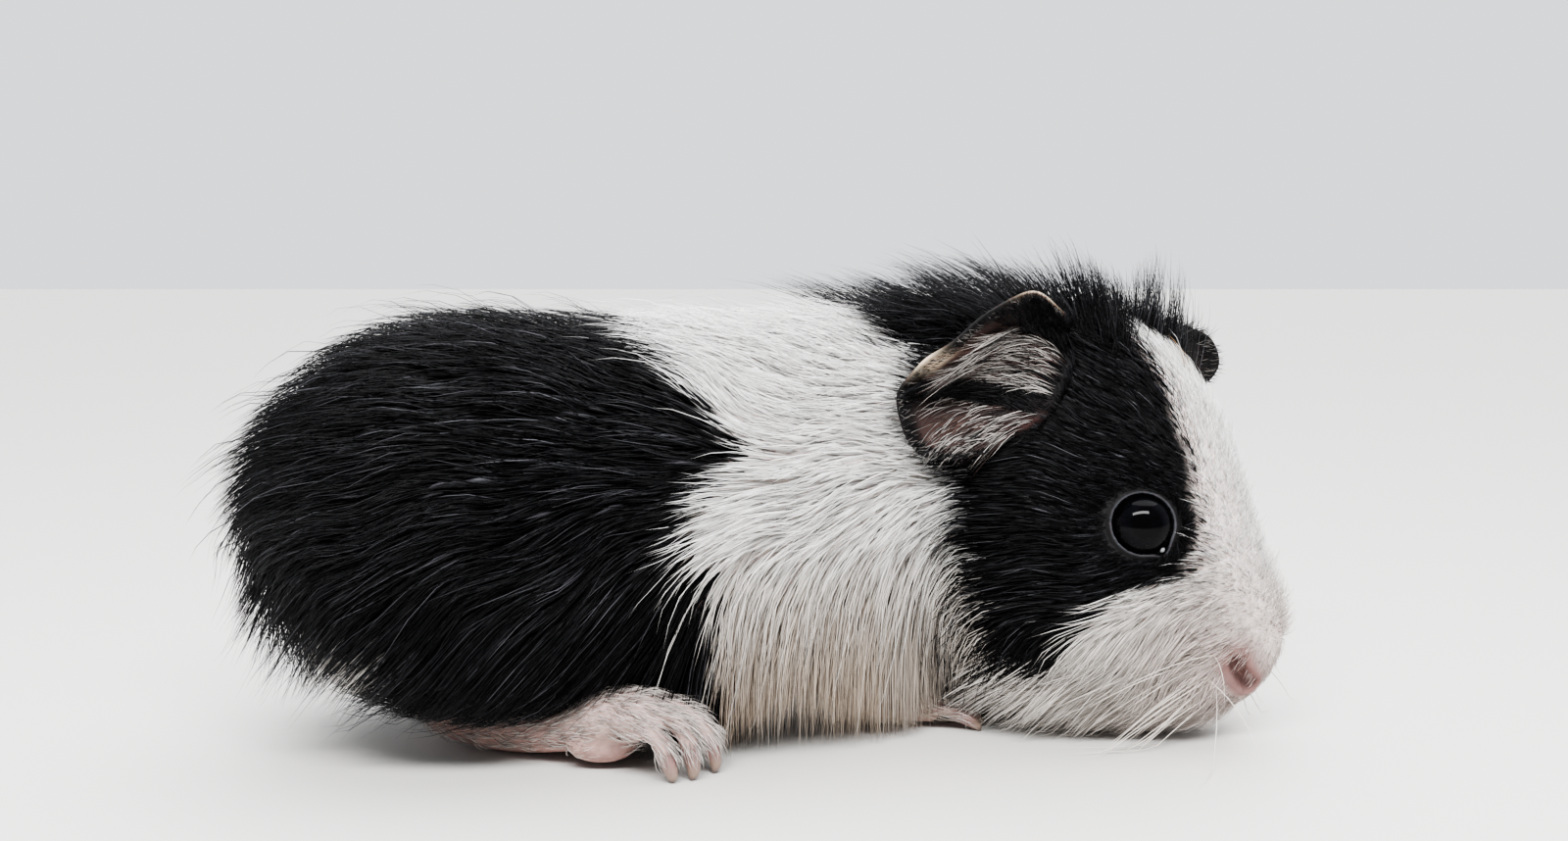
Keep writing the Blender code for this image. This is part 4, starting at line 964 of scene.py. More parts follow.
def melted(pieces, voxel, rounds):
    """Closed pieces melted into one surface by a remesh in small cubes and some smoothing."""
    lump = new_mesh("lump", *gathered(pieces))
    remesh = lump.modifiers.new("melt", "REMESH")
    remesh.mode = "VOXEL"
    remesh.voxel_size = voxel
    smooth = lump.modifiers.new("smooth", "SMOOTH")
    smooth.factor = 0.5
    smooth.iterations = rounds
    graph = bpy.context.evaluated_depsgraph_get()
    mesh = bpy.data.meshes.new_from_object(lump.evaluated_get(graph))
    mesh.calc_loop_triangles()
    points = np.empty(len(mesh.vertices) * 3, np.float32)
    mesh.vertices.foreach_get("co", points)
    corners = np.empty(len(mesh.loop_triangles) * 3, np.int32)
    mesh.loop_triangles.foreach_get("vertices", corners)
    bpy.data.objects.remove(lump, do_unlink=True)
    points = kept_above(points.reshape(-1, 3).astype(float), TIP_HEIGHT)
    return points, facing_out(points, [corners.reshape(-1, 3)])


# The skin as one piece


NOSE_BARE = mm(1.8, 5.5)
LIPS_BARE = mm(1.0, 4.5)
LIPS_SHARE = 0.7
# How wide the painted shade along the nostril slits spreads
SLIT_SPREAD = 1.15 * MM
LEG_TOPS = mm(1, 9)
LEG_TOP_PALE = 0.25


def skin_tone(points):
    """The skin's colour: dark under black hair, pale under white, pink at the nose and lips, and a dark red
    with painted shade along the nostril slits.
    """
    dark = darkness(points)[..., None]
    head = one_side(HEAD.local(points))
    tone = PALE_SKIN + (DARK_SKIN - PALE_SKIN) * dark
    nose = 1 - ramp(away_from(head, NOSTRIL_LINE), *NOSE_BARE)
    lips = 1 - ramp(away_from(head, MOUTH_LINE), *LIPS_BARE)
    bare = np.maximum(nose, LIPS_SHARE * lips)[..., None]
    tone = tone + (NOSE_TONE - tone) * bare
    # Painted shade along the nostril slits
    slit = bell(away_from(head, NOSTRIL_LINE), 0, SLIT_SPREAD)
    return tone + (SLIT_RED_AND_SHADE - tone) * slit[..., None]


def leg_tone(points):
    """The legs' pink skin, deeper on the soles and paler on top."""
    tops = ramp(points[..., 2], *LEG_TOPS)[..., None]
    return PINK + (PALE_SKIN - PINK) * LEG_TOP_PALE * tops


def make_skin():
    """The flesh's grid with a point at each pole, the ears, the legs and the lids, as one piece."""
    rings, sectors = SKIN.shape[:2]
    grid = SKIN[1:-1].reshape(-1, 3)
    points = np.concatenate([grid, SKIN[:1, 0], SKIN[-1:, 0]])
    points = kept_above(pressed(points, outward(points)), TIP_HEIGHT)
    tail, nose = len(points) - 2, len(points) - 1
    k = np.arange(sectors)
    following = (k + 1) % sectors
    last = (rings - 3) * sectors
    tail_fan = np.stack([np.full(sectors, tail), following, k], axis=-1)
    nose_fan = np.stack([np.full(sectors, nose), last + k, last + following], axis=-1)
    faces = facing_out(points, [grid_faces(rings - 2, sectors), np.concatenate([tail_fan, nose_fan])])
    pieces, colours = [(points, faces)], [skin_tone(points)]
    for side in (-1, 1):
        shell, tones = EAR_SHELLS[side]
        pieces.append(shell)
        colours.append(tones)
        lids, skirt = lid_ring(side)
        pieces.append(lids)
        # The lid rim's grey, partly painted sheen, fades into dark skin on the skirt
        dark = np.minimum(skirt * LID_SHEEN_FADE, 1)[:, None]
        colours.append(LID_GREY_AND_SHEEN + (DARK_SKIN - LID_GREY_AND_SHEEN) * dark)
    for leg in LEG_SURFACES.values():
        pieces.append(leg)
        colours.append(leg_tone(leg[0]))
    skin = new_mesh("skin", *gathered(pieces), np.concatenate(colours))
    legs = [f"{kind}leg_{hand}" for kind in ("fore", "hind") for hand in ("right", "left")]
    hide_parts("torso", "neck", "head", "ear_right", "ear_left", *legs)
    return skin


def coloured_ear(side):
    """An ear's closed shell with its colours. The inner face is the one that the cup leaves."""
    sheet, normal, shell = ear_shell(side)
    inner_first = np.sum(normal * on_side(side, EAR_CUP[side])) < 0
    rows, columns = sheet.shape[:2]
    out = np.linspace(0, 1, rows)
    out = np.concatenate([out, np.ones(len(shell) - 2 * rows), out[::-1]])[:, None]
    first_face = np.arange(len(shell))[:, None] < rows
    inner = (first_face == inner_first).astype(float)
    round_ear = np.linspace(0, 1, columns)[None]
    tones = ear_tone(side, round_ear, out, inner).reshape(-1, 3)
    points = shell.reshape(-1, 3)
    count = len(shell)
    quads = grid_faces(count, columns, closed_round=False, closed_along=True)
    start = np.arange(count)[::-1] * columns
    end = np.arange(count) * columns + columns - 1
    return (points, facing_out(points, [quads, np.stack([start, end])])), tones


EAR_SHELLS = {side: coloured_ear(side) for side in (-1, 1)}
LEG_SURFACES = {leg: melted(leg_tubes(*leg), LEG_VOXEL, LEG_SMOOTHING) for leg in LEGS}
skin = make_skin()


# Eyes and claws

EYE_BLACK = np.array([0.0012, 0.0012, 0.0015])
IRIS_BROWN = np.array([0.0026, 0.0026, 0.0038])
# The tear bead is light grey, a painted glint of its wet surface
TEAR_PAINTED_GLINT = np.array([0.30, 0.31, 0.33])
PUPIL_ANGLE = math.radians(24)
IRIS_ANGLE = math.radians(47)
TEAR_BEAD = 0.42 * MM
EYE_GRID = (60, 80)
BEAD_GRID = (14, 20)
EYE_BULGE = 0.035
BULGE_ANGLE = 0.75
# How far out towards the lid the bead sits, and how far below its rim
BEAD_OUT = 0.97
BEAD_SUNK = 0.1 * MM


def make_eye(side, name):
    """The ball, a little fuller in front, with a dark, streaked iris round a black pupil and a
    bead of moisture in the tear corner, coloured light grey as a painted glint."""
    facing, forwards, up = eye_axes(side)
    unit_ball = ball_grid(*EYE_GRID)
    angle = np.arccos(unit_ball[..., 2])
    bulge = 1 + EYE_BULGE * np.exp(-((angle / BULGE_ANGLE) ** 4))
    across = unit_ball[..., :1] * forwards + unit_ball[..., 1:2] * up
    ball = (across + unit_ball[..., 2:] * facing) * bulge[..., None] * EYE_RADIUS
    centre = HEAD.at(on_side(side, EYE_PLACE))
    points = (centre + ball).reshape(-1, 3)
    around = np.arctan2(unit_ball[..., 1], unit_ball[..., 0])
    streaks = 0.75 + 0.25 * np.sin(around * 31 + 2 * np.sin(around * 7))
    iris = ramp(angle, PUPIL_ANGLE, PUPIL_ANGLE * 1.12) * (1 - ramp(angle, IRIS_ANGLE * 0.9, IRIS_ANGLE))
    tone = EYE_BLACK + (IRIS_BROWN - EYE_BLACK) * (iris * streaks)[..., None]
    corner = math.cos(TEAR_CORNER) * forwards + math.sin(TEAR_CORNER) * up
    bead_centre = centre + corner * LID_RADIUS * BEAD_OUT + facing * (LID_RISE - BEAD_SUNK)
    bead = (bead_centre + ball_grid(*BEAD_GRID) * TEAR_BEAD).reshape(-1, 3)
    pieces = [
        (points, facing_out(points, sphere_faces(*EYE_GRID))),
        (bead, facing_out(bead, sphere_faces(*BEAD_GRID))),
    ]
    colours = np.concatenate([tone.reshape(-1, 3), np.broadcast_to(TEAR_PAINTED_GLINT, bead.shape)])
    eye = new_mesh(f"{name}_ball", *gathered(pieces), colours)
    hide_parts(name)
    return eye


EYES = [make_eye(-1, "eye_right"), make_eye(1, "eye_left")]

CLAW_QUICK = np.array([0.25, 0.14, 0.13])
CLAW_HORN = np.array([0.24, 0.165, 0.13])
CLAW_TIP = np.array([0.08, 0.055, 0.048])
CLAW_STEPS = 22
CLAW_SIDES = 16
CLAW_POINT = 0.10 * MM
# Half sizes of a claw's section across and upright, for its thickness
CLAW_SECTION = (0.85, 1.1)
QUICK_END = (0.30, 0.62)
TIP_START = (0.70, 1.0)


def make_claw(kind, side, number, toe, claw_tip):
    """A claw carried along a bent line from inside the toe's end to its tip, flattened at the
    sides, with the pink quick showing through at its root. It is (1 - t^2.2)^0.8 of its thickness
    with t from root to tip, and a little more."""
    end, before = toe[-1], toe[-2]
    onward = unit(end - before)
    start = end - onward * CLAW_ROOT
    bend = end + onward * np.linalg.norm(claw_tip - end) / 2
    middle = bend * CLAW_BEND + (end + claw_tip) / 2 * (1 - CLAW_BEND)
    path = smooth_path(placed(side, kind, [start, middle, claw_tip]), CLAW_STEPS)
    along = np.linspace(0, 1, CLAW_STEPS)
    size = CLAW_THICKNESS[kind] * (1 - along**2.2) ** 0.8 + CLAW_POINT
    wide, high = CLAW_SECTION
    points, faces = tube(path, size * wide, size * high, UPRIGHT_SIDE, CLAW_SIDES)
    points = kept_above(points, TIP_HEIGHT)
    at = np.pad(along, END_RINGS, mode="edge")
    tone = CLAW_QUICK + (CLAW_HORN - CLAW_QUICK) * ramp(at, *QUICK_END)[:, None]
    tone = tone + (CLAW_TIP - tone) * ramp(at, *TIP_START)[:, None]
    node = f"claw_{kind}_{'right' if side < 0 else 'left'}_{number}"
    claw = new_mesh(f"{node}_horn", points, faces, np.repeat(tone, CLAW_SIDES, axis=0))
    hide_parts(node)
    return claw


CLAWS = [
    make_claw(kind, side, number, toe, claw_tip)
    for kind, side in LEGS
    for number, (toe, claw_tip) in enumerate(toes(kind), 1)
]


# Hair

BODY_STRANDS = 26500
HEAD_STRANDS = 24000
CREST_STRANDS = 3700
UNDERCOAT = 9000
GUIDE_SHARE = 26
PATCH = 0.003
# The unwrap: the skin's rings and sectors fill it up to here, and the ears and legs the rest
SKIN_UNWRAP = 0.82
EAR_UNWRAP = (0.84, 0.90)
LEG_UNWRAP = (0.92, 0.99)
DOWN = np.array([0.0, 0.0, -1.0])


def scattered(grid, weight, count, closed_round):
    """Roots drawn evenly over a (rows, columns) grid surface in step with cell area times
    weight. Gives each root's place, and how far along and round the grid it is, 0 to 1."""
    if closed_round:
        grid = np.concatenate([grid, grid[:, :1]], axis=1)
    a, b, c, d = grid[:-1, :-1], grid[:-1, 1:], grid[1:, 1:], grid[1:, :-1]
    area = np.linalg.norm(np.cross(c - a, d - b), axis=-1) / 2
    share = area * weight((a + b + c + d) / 4)
    total = np.cumsum(share.reshape(-1))
    drawn = (np.arange(count) + DRAWS.uniform(0, 1, count)) / count * total[-1]
    cell = np.minimum(np.searchsorted(total, drawn), len(total) - 1)
    row, column = np.unravel_index(cell, share.shape)
    s, t = DRAWS.uniform(0, 1, (2, count))
    corners = [grid[row + i, column + j] for i, j in ((0, 0), (0, 1), (1, 1), (1, 0))]
    weights = [(1 - s) * (1 - t), (1 - s) * t, s * t, s * (1 - t)]
    points = sum(corner * w[:, None] for corner, w in zip(corners, weights))
    return points, (row + s) / (grid.shape[0] - 1), (column + t) / (grid.shape[1] - 1)


def turned(vectors, axes, angles):
    """Vectors turned about unit axes at right angles to them, by angles in radians."""
    angles = angles[:, None]
    return vectors * np.cos(angles) + np.cross(axes, vectors) * np.sin(angles)


# How far back hanging hair sweeps on the haunch, and where
HAUNCH_SWEEP = 0.8
HAUNCH_SPAN = mm(2, 22)
SWEEP_UP = mm(8, 24)
# How far the skin faces down, 0 to 1, where hair starts to hang and where it no longer does
HANG_SPAN = (0.0, 0.45)
TURNED_UNDER = (0.1, 0.5)
RUMP_LOOSE = 0.8
ROOT_SINK = 0.3 * MM
MOMENTUM = 0.6
WANDER = 0.20
WANDER_SIZE = 15 * MM
DRAW_IN = 0.55


def lying(roots, lengths, layers, swings, segments, lift=0.5):
    """Paths of hairs from roots just under the skin. At each step a hair goes on along the lie,
    swung aside a little, keeping some of its last direction, and stands off the skin by its
    layer's share of the coat's depth times 1 - (1 - t)^2.5, with t from root to tip. It is pushed
    out where it is too low, and drawn in less and less towards its tip. Where the skin turns
    under, a flank's hair hangs down."""
    steps = segments * 2
    normal = outward(roots)
    hangs = np.maximum(1 - ramp(-normal[:, 2], *TURNED_UNDER), fringe_share(roots, normal))
    body = BODY.local(roots)
    sweep = HAUNCH_SWEEP * ramp(-body[:, 0], *HAUNCH_SPAN) * ramp(body[:, 2], *SWEEP_UP)
    fall = unit(DOWN + BODY.along((-1, 0, 0)) * sweep[:, None])
    loose = 1 - RUMP_LOOSE * ramp(-body[:, 0], *RUMP_SPAN) * ramp(body[:, 2], *STAND_SPAN)
    points = roots - normal * ROOT_SINK
    direction = unit(coat_lie(roots, normal) + normal * lift)
    path = [points]
    for step in range(steps):
        t = (step + 1) / steps
        aside = swings * t + WANDER * ripple(points, WANDER_SIZE, 3)
        lie = turned(coat_lie(points, normal), normal, aside)
        hang = (ramp(-normal[:, 2], *HANG_SPAN) * hangs)[:, None]
        flow = lie * (1 - hang) + fall * hang
        direction = unit(flow + direction * MOMENTUM)
        points = points + direction * (lengths / steps)[:, None]
        normal = outward(points)
        wanted = coat_depth(points) * layers * (1 - (1 - t) ** 2.5)
        gap = wanted - flesh(points)
        drawn_in = gap * DRAW_IN * (1 - t) ** 0.8 * (1 - hang[:, 0]) * loose
        points = points + normal * np.where(gap > 0, gap, drawn_in)[:, None]
        points = kept_above(points, FLOOR_CLEAR)
        if step % 2:
            path.append(points)
    return np.stack(path, axis=1)


# How many hairs look for their nearest guide at a time, and how strong the weakest lock is
BATCH = 1500
LOCK_STRENGTHS = (0.4, 1.0)


def clumped(paths, strength):
    """Hairs drawn together towards their tips into locks, each about its nearest guide hair."""
    guides = np.arange(0, len(paths), GUIDE_SHARE)
    places = paths[guides, 0]
    nearest = np.concatenate(
        [
            np.argmin(np.linalg.norm(some[:, None] - places[None], axis=-1), axis=1)
            for some in np.array_split(paths[:, 0], max(len(paths) // BATCH, 1))
        ]
    )
    guide_paths = paths[guides[nearest]]
    along = np.linspace(0, 1, paths.shape[1])[None, :, None] ** 1.4
    lock_strength = DRAWS.uniform(*LOCK_STRENGTHS, len(guides))[nearest][:, None, None]
    drawn = paths + (guide_paths - paths) * along * lock_strength * strength
    return kept_above(drawn, FLOOR_CLEAR)


def frizzed(paths, size):
    """Hairs bent aside at random, more towards their tips."""
    count, places = paths.shape[:2]
    along = np.linspace(0, 1, places)[None, :, None]
    bend = DRAWS.normal(0, size, (count, 1, 3)) * along**2
    wave = DRAWS.normal(0, size / 3, (count, places, 3)) * along
    return kept_above(paths + bend + wave, FLOOR_CLEAR)


class Hairs:
    """Hairs of one kind: their paths, girth, colour and place on the unwrap."""

    def __init__(self, paths, girths, tones, places):
        self.paths, self.girths, self.tones, self.places = paths, girths, tones, places

    def some(self, chosen):
        """Only the chosen hairs."""
        return Hairs(self.paths[chosen], self.girths[chosen], self.tones[chosen], self.places[chosen])


# The radius at a strand's root and where it is full, its flatness, how far each strand is turned about
# its own line, and the share of the way to the tip where the painted shade at its root has faded out
ROOT_RADIUS = 0.62
FULL_AT = 0.3
STRAND_FLATNESS = 0.75
STRAND_TURN = 0.3
PAINTED_SHADE_END = 0.55


def hair_mesh(name, hairs, painted_root_shade):
    """Closed three-sided strands: rings of three points that shrink to a point at the tip. The
    radius is that of the girth times 1 - t^2.2 with t from root to tip, and a little thinner at
    the root, where the colour is darkened too as painted shade. A strand lies in one small patch of the
    unwrap."""
    count, places = hairs.paths.shape[:2]
    rings = places - 1
    t = np.linspace(0, 1, places)[:-1]
    radius = (ROOT_RADIUS + (1 - ROOT_RADIUS) * np.minimum(t / FULL_AT, 1)) * (1 - t**2.2)
    tangent = unit(np.gradient(hairs.paths, axis=1))[:, :-1]
    reference = outward(hairs.paths[:, 0])[:, None] + DRAWS.normal(0, STRAND_TURN, (count, 1, 3))
    side = unit(np.cross(tangent, reference))
    over = np.cross(tangent, side)
    angle = 2 * math.pi * np.arange(3) / 3 + math.pi / 6
    flat = STRAND_FLATNESS * np.sin(angle)
    ring = np.cos(angle)[:, None] * side[:, :, None] + flat[:, None] * over[:, :, None]
    ring = ring * (hairs.girths[:, None] / 2 * radius)[:, :, None, None]
    body = (hairs.paths[:, :-1, None] + ring).reshape(count, -1, 3)
    points = kept_above(np.concatenate([body, hairs.paths[:, -1:]], axis=1), TIP_HEIGHT)
    k, j = np.meshgrid(np.arange(rings - 1), np.arange(3), indexing="ij")
    n = (j + 1) % 3
    quads = np.stack([3 * k + j, 3 * k + n, 3 * k + 3 + n, 3 * k + 3 + j], axis=-1).reshape(-1, 4)
    tip, last = 3 * rings, 3 * (rings - 1)
    ends = np.array([(2, 1, 0), *[(last + j, last + (j + 1) % 3, tip) for j in range(3)]])
    first = (np.arange(count) * (tip + 1))[:, None, None]
    faces = [(quads + first).reshape(-1, 4), (ends + first).reshape(-1, 3)]
    # Painted shade: each strand's colour darkens towards its root
    shade = painted_root_shade + (1 - painted_root_shade) * np.minimum(t / PAINTED_SHADE_END, 1)
    shade = np.append(np.repeat(shade, 3), 1.0)
    colours = (hairs.tones[:, None] * shade[None, :, None]).reshape(-1, 3)
    across = np.append(np.tile([-0.5, 0.0, 0.5], rings), 0.0)
    along = np.append(np.repeat(t - 0.5, 3), 0.5)
    spots = hairs.places[:, None] + PATCH * np.stack([across, along], axis=-1)[None]
    corners = np.concatenate([group.reshape(-1) for group in faces])
    patches = spots.reshape(-1, 2)[corners]
    return new_mesh(name, points.reshape(-1, 3), faces, colours, patches)


TRIANGLES_A_PIECE = 190000
# How much of a strand's colour the painted shade at its root leaves, for black and for white hair
PAINTED_ROOT_SHADE = {"black_coat": 0.55, "white_coat": 0.68}
COAT = []


def coat_pieces(name, hairs, slot, painted_root_shade=None):
    """The hairs split into pieces of at most TRIANGLES_A_PIECE triangles each."""
    triangles = 6 * (hairs.paths.shape[1] - 2) + 4
    parts = math.ceil(len(hairs.paths) * triangles / TRIANGLES_A_PIECE)
    shade = PAINTED_ROOT_SHADE[slot] if painted_root_shade is None else painted_root_shade
    for number, chosen in enumerate(np.array_split(np.arange(len(hairs.paths)), parts), 1):
        piece = hair_mesh(f"{name}_{number}", hairs.some(chosen), shade)
        COAT.append((piece, slot))


# How rare grey hairs are, which partly stand for painted sheen streaks, how the blacks vary, and how the
# whites do on the body and on the face
GREY_SHEEN_RARITY = 14
BLACK_RANGE = (0.6, 1.7)
MIXED_EDGE = (0.25, 0.75)
PALEST = 1.06
PALE_VARIES = (0.50, 0.18)
FACE_ALONG = mm(16, 30)


def toned(paths, share):
    """Whether each hair is black, and its colour: the marking at a share of the way along it."""
    at = np.broadcast_to(share, len(paths)) * (paths.shape[1] - 1)
    low = at.astype(int)
    part_way = (at - low)[:, None]
    every = np.arange(len(paths))
    most = paths[every, low] * (1 - part_way) + paths[every, low + 1] * part_way
    black = darkness(most) > DRAWS.uniform(*MIXED_EDGE, len(paths))
    # A few grey hairs, partly painted sheen streaks on the black
    grey = DRAWS.uniform(0, 1, (len(paths), 1)) ** GREY_SHEEN_RARITY
    dark = (BLACK + (GREY_AND_SHEEN - BLACK) * grey) * DRAWS.uniform(*BLACK_RANGE, (len(paths), 1))
    varied = PALE_VARIES[0] + PALE_VARIES[1] * ramp(HEAD.local(most)[:, :1], *FACE_ALONG)
    pale = white_tone(most) * (PALEST - varied * DRAWS.uniform(0, 1, (len(paths), 1)) ** 2)
    return black, np.where(black[:, None], dark, pale)


def coat(name, paths, girths, places, share=0.55):
    """Hairs of the coat, as black pieces and white pieces by the marking at a share along."""
    black, tones = toned(paths, share)
    hairs = Hairs(paths, girths, tones, places)
    for tone, chosen in (("black", black), ("white", ~black)):
        if chosen.any():
            coat_pieces(f"{tone}_{name}", hairs.some(chosen), f"{tone}_coat")


# Where hair grows, and how densely

HEAD_HAIR_START = mm(-15, -4)
EYE_BARE = mm(5.2, 5.6)
NOSTRIL_BARE = mm(0.9, 2.7)
MOUTH_BARE = mm(0.5, 1.4)
UNDER_SHARE = 0.55
UNDER_UP = mm(8, 16)
NOSTRIL_SHARE = 0.3
FRINGE_CROWD = 0.7
STRAY_SHARE = 0.12
EYE_CROWD = 2.5
EYE_CROWD_AT = mm(6.6, 1.6)
# Hairs an area at places along the head, against those on the body
HEAD_DENSITY_PLACES = mm(-4, 8, 18, 28, 36)
HEAD_DENSITY = (1.0, 2.1, 3.6, 4.8, 6.0)


def body_density(points):
    """Hairs an area of the body: none on the head, fewer underneath and more in the fringe."""
    head = HEAD.local(points)
    under = 1 - ramp(points[..., 2], *UNDER_UP)
    fringe = FRINGE_CROWD * fringe_share(points, outward(points))
    return (1 - ramp(head[..., 0], *BODY_HAIR_END)) * (1 + fringe - (1 - UNDER_SHARE) * under)


def not_bare(points):
    """0 in the eye's opening, at the nostrils and between the lips, and 1 elsewhere."""
    head = one_side(HEAD.local(points))
    eye = ramp(np.linalg.norm(head - EYE_PLACE, axis=-1), *EYE_BARE)
    nostril = away_from(head, NOSTRIL_LINE)
    nose = NOSTRIL_SHARE * ramp(nostril, NOSTRIL_BARE[0], 2 * NOSTRIL_BARE[0])
    nose = nose + (1 - NOSTRIL_SHARE) * ramp(nostril, *NOSTRIL_BARE)
    mouth = ramp(away_from(head, MOUTH_LINE), *MOUTH_BARE)
    return eye * nose * mouth


def head_density(points):
    """Hairs an area of the head: more towards the nose and round the eyes."""
    head = one_side(HEAD.local(points))
    along = head[..., 0]
    crowd = 1 + EYE_CROWD * bell(np.linalg.norm(head - EYE_PLACE, axis=-1), *EYE_CROWD_AT)
    density = np.interp(along, HEAD_DENSITY_PLACES, HEAD_DENSITY) * crowd
    return ramp(along, *HEAD_HAIR_START) * density * not_bare(points)


def on_unwrap(along, around):
    """Places on the unwrap for roots on the skin."""
    return np.stack([along * SKIN_UNWRAP, around], axis=-1)


# For the hairs of the body and of the head: the share that stray, how lengths and layers vary, how
# much longer and higher strays are, and how far hairs swing, clump and bend
BODY_STRAYS = 0.05
BODY_LENGTHS = (0.7, 1.15)
BODY_LAYERS = (0.2, 1.0)
BODY_STRAY_MORE = (1.3, 1.8)
BODY_SWING = 0.17
BODY_CLUMPING = 0.42
BODY_FRIZZ = 0.4 * MM
BODY_GIRTH = mm(0.12, 0.16)
STRAY_GIRTH = 0.75
BODY_TONE_AT = 0.5
HEAD_STRAYS = (0.05, 0.22)
HEAD_LENGTHS = (0.75, 1.2)
HEAD_LAYERS = (0.25, 1.15)
HEAD_STRAY_MORE = (1.6, 1.5)
HEAD_SWING = 0.14
HEAD_CLUMPING = 0.35
HEAD_FRIZZ = 0.14 * MM
HEAD_GIRTH = mm(0.13, 0.25)
HEAD_TONE_AT = 0.72
# The length from which a hair of the head has its full girth, and the height of the cheeks
FULL_GIRTH = 9 * MM
CHEEK_UP = mm(18, 30)


def body_coat():
    """The long coat of the body, in layers from close to the skin out to the coat's tips, with
    a few stray hairs that are longer and stand further off."""
    roots, along, around = scattered(SKIN, body_density, BODY_STRANDS, True)
    stray = DRAWS.uniform(0, 1, BODY_STRANDS) < BODY_STRAYS
    longer, higher = BODY_STRAY_MORE
    lengths = hair_length(roots, outward(roots)) * DRAWS.uniform(*BODY_LENGTHS, BODY_STRANDS)
    lengths = lengths * np.where(stray, longer, 1)
    layers = DRAWS.uniform(*BODY_LAYERS, BODY_STRANDS) ** 0.8 * np.where(stray, higher, 1)
    swings = DRAWS.normal(0, BODY_SWING, BODY_STRANDS)
    paths = lying(roots, lengths, layers, swings, 4)
    paths = frizzed(clumped(paths, BODY_CLUMPING), BODY_FRIZZ)
    girths = BODY_GIRTH[0] + BODY_GIRTH[1] * DRAWS.uniform(0, 1, BODY_STRANDS) ** 1.5
    girths = girths * np.where(stray, STRAY_GIRTH, 1)
    share = np.where(stray, STRAY_SHARE, BODY_TONE_AT)
    coat("body_hair", paths, girths, on_unwrap(along, around), share)


def head_coat():
    """The coat of the head: long on the cheeks, and short and fine on the face."""
    roots, along, around = scattered(SKIN, head_density, HEAD_STRANDS, True)
    low = 1 - ramp(HEAD.local(roots)[:, 2], *CHEEK_UP)
    stray = DRAWS.uniform(0, 1, HEAD_STRANDS) < HEAD_STRAYS[0] + HEAD_STRAYS[1] * low
    longer, higher = HEAD_STRAY_MORE
    lengths = hair_length(roots, outward(roots)) * DRAWS.uniform(*HEAD_LENGTHS, HEAD_STRANDS)
    lengths = lengths * np.where(stray, longer, 1)
    layers = DRAWS.uniform(*HEAD_LAYERS, HEAD_STRANDS) * np.where(stray, higher, 1)
    swings = DRAWS.normal(0, HEAD_SWING, HEAD_STRANDS)
    paths = lying(roots, lengths, layers, swings, 3, lift=0.35)
    paths = frizzed(clumped(paths, HEAD_CLUMPING), HEAD_FRIZZ)
    girths = np.clip(lengths / FULL_GIRTH, 0.5, 1) * DRAWS.uniform(*HEAD_GIRTH, HEAD_STRANDS)
    share = np.where(stray, STRAY_SHARE, HEAD_TONE_AT)
    coat("head_hair", paths, girths, on_unwrap(along, around), share)


LID_HAIRS = 900
LID_HAIR_LENGTHS = mm(1.6, 3.0)
LID_HAIR_GIRTH = 0.13 * MM
LID_HAIR_ARCH = 0.25 * MM
LID_HAIR_OUT = 0.2


def lid_coat():
    """Short hair on the slope outside each lid, which hides where it meets the skin."""
    count = LID_HAIRS
    for side in (-1, 1):
        facing, forwards, up = eye_axes(side)
        angle = DRAWS.uniform(0, 2 * math.pi, count)[:, None]
        share = DRAWS.uniform(0.1, 1.0, count)[:, None]
        around = np.cos(angle) * forwards + np.sin(angle) * up
        out = around * (LID_RADIUS + LID_ROLL + LID_SKIRT * share)
        roots = HEAD.at(on_side(side, EYE_PLACE)) + out + facing * (LID_RISE - SKIRT_DROP * share)
        lengths = DRAWS.uniform(*LID_HAIR_LENGTHS, count)
        lie = coat_lie(roots, outward(roots))
        outwards = np.sum(lie * around, axis=-1, keepdims=True)
        lie = unit(lie + around * np.maximum(LID_HAIR_OUT - outwards, 0))
        t = np.linspace(0, 1, 4)[None, :, None]
        paths = roots[:, None] + lie[:, None] * lengths[:, None, None] * t
        paths = paths + facing * LID_HAIR_ARCH * np.sin(math.pi * t * 0.8)
        spots = on_unwrap(0.8 + 0.02 * share[:, 0], angle[:, 0] / 7)
        hand = "right" if side < 0 else "left"
        coat(f"lid_hair_{hand}", paths, np.full(count, LID_HAIR_GIRTH), spots)


BEARD_HAIRS = 2200
# Where the beard starts and ends along the head, how high it reaches, and how far the skin faces
# down, 0 to 1, where it thins out
BEARD_SPAN = mm((-14, -6), (22, 30))
BEARD_UP = mm(8, 16)
BEARD_UNDER = (-0.75, -0.1)
BEARD_THINNER = 0.7
BEARD_LENGTHS = mm(6, 13)
BEARD_FORWARD = mm(8, 28)
BEARD_SHORTER = 0.35
BEARD_FALL = 0.34
BEARD_SAG = 0.16
BEARD_GIRTHS = mm(0.13, 0.24)


def beard_density(points):
    """Where the beard grows: low on the cheeks and along the jaw to the throat."""
    head = HEAD.local(points)
    along = ramp(head[..., 0], *BEARD_SPAN[0]) * (1 - ramp(head[..., 0], *BEARD_SPAN[1]))
    under = 1 - ramp(outward(points)[..., 2], *BEARD_UNDER)
    return along * (1 - ramp(head[..., 2], *BEARD_UP)) * (1 - BEARD_THINNER * under)


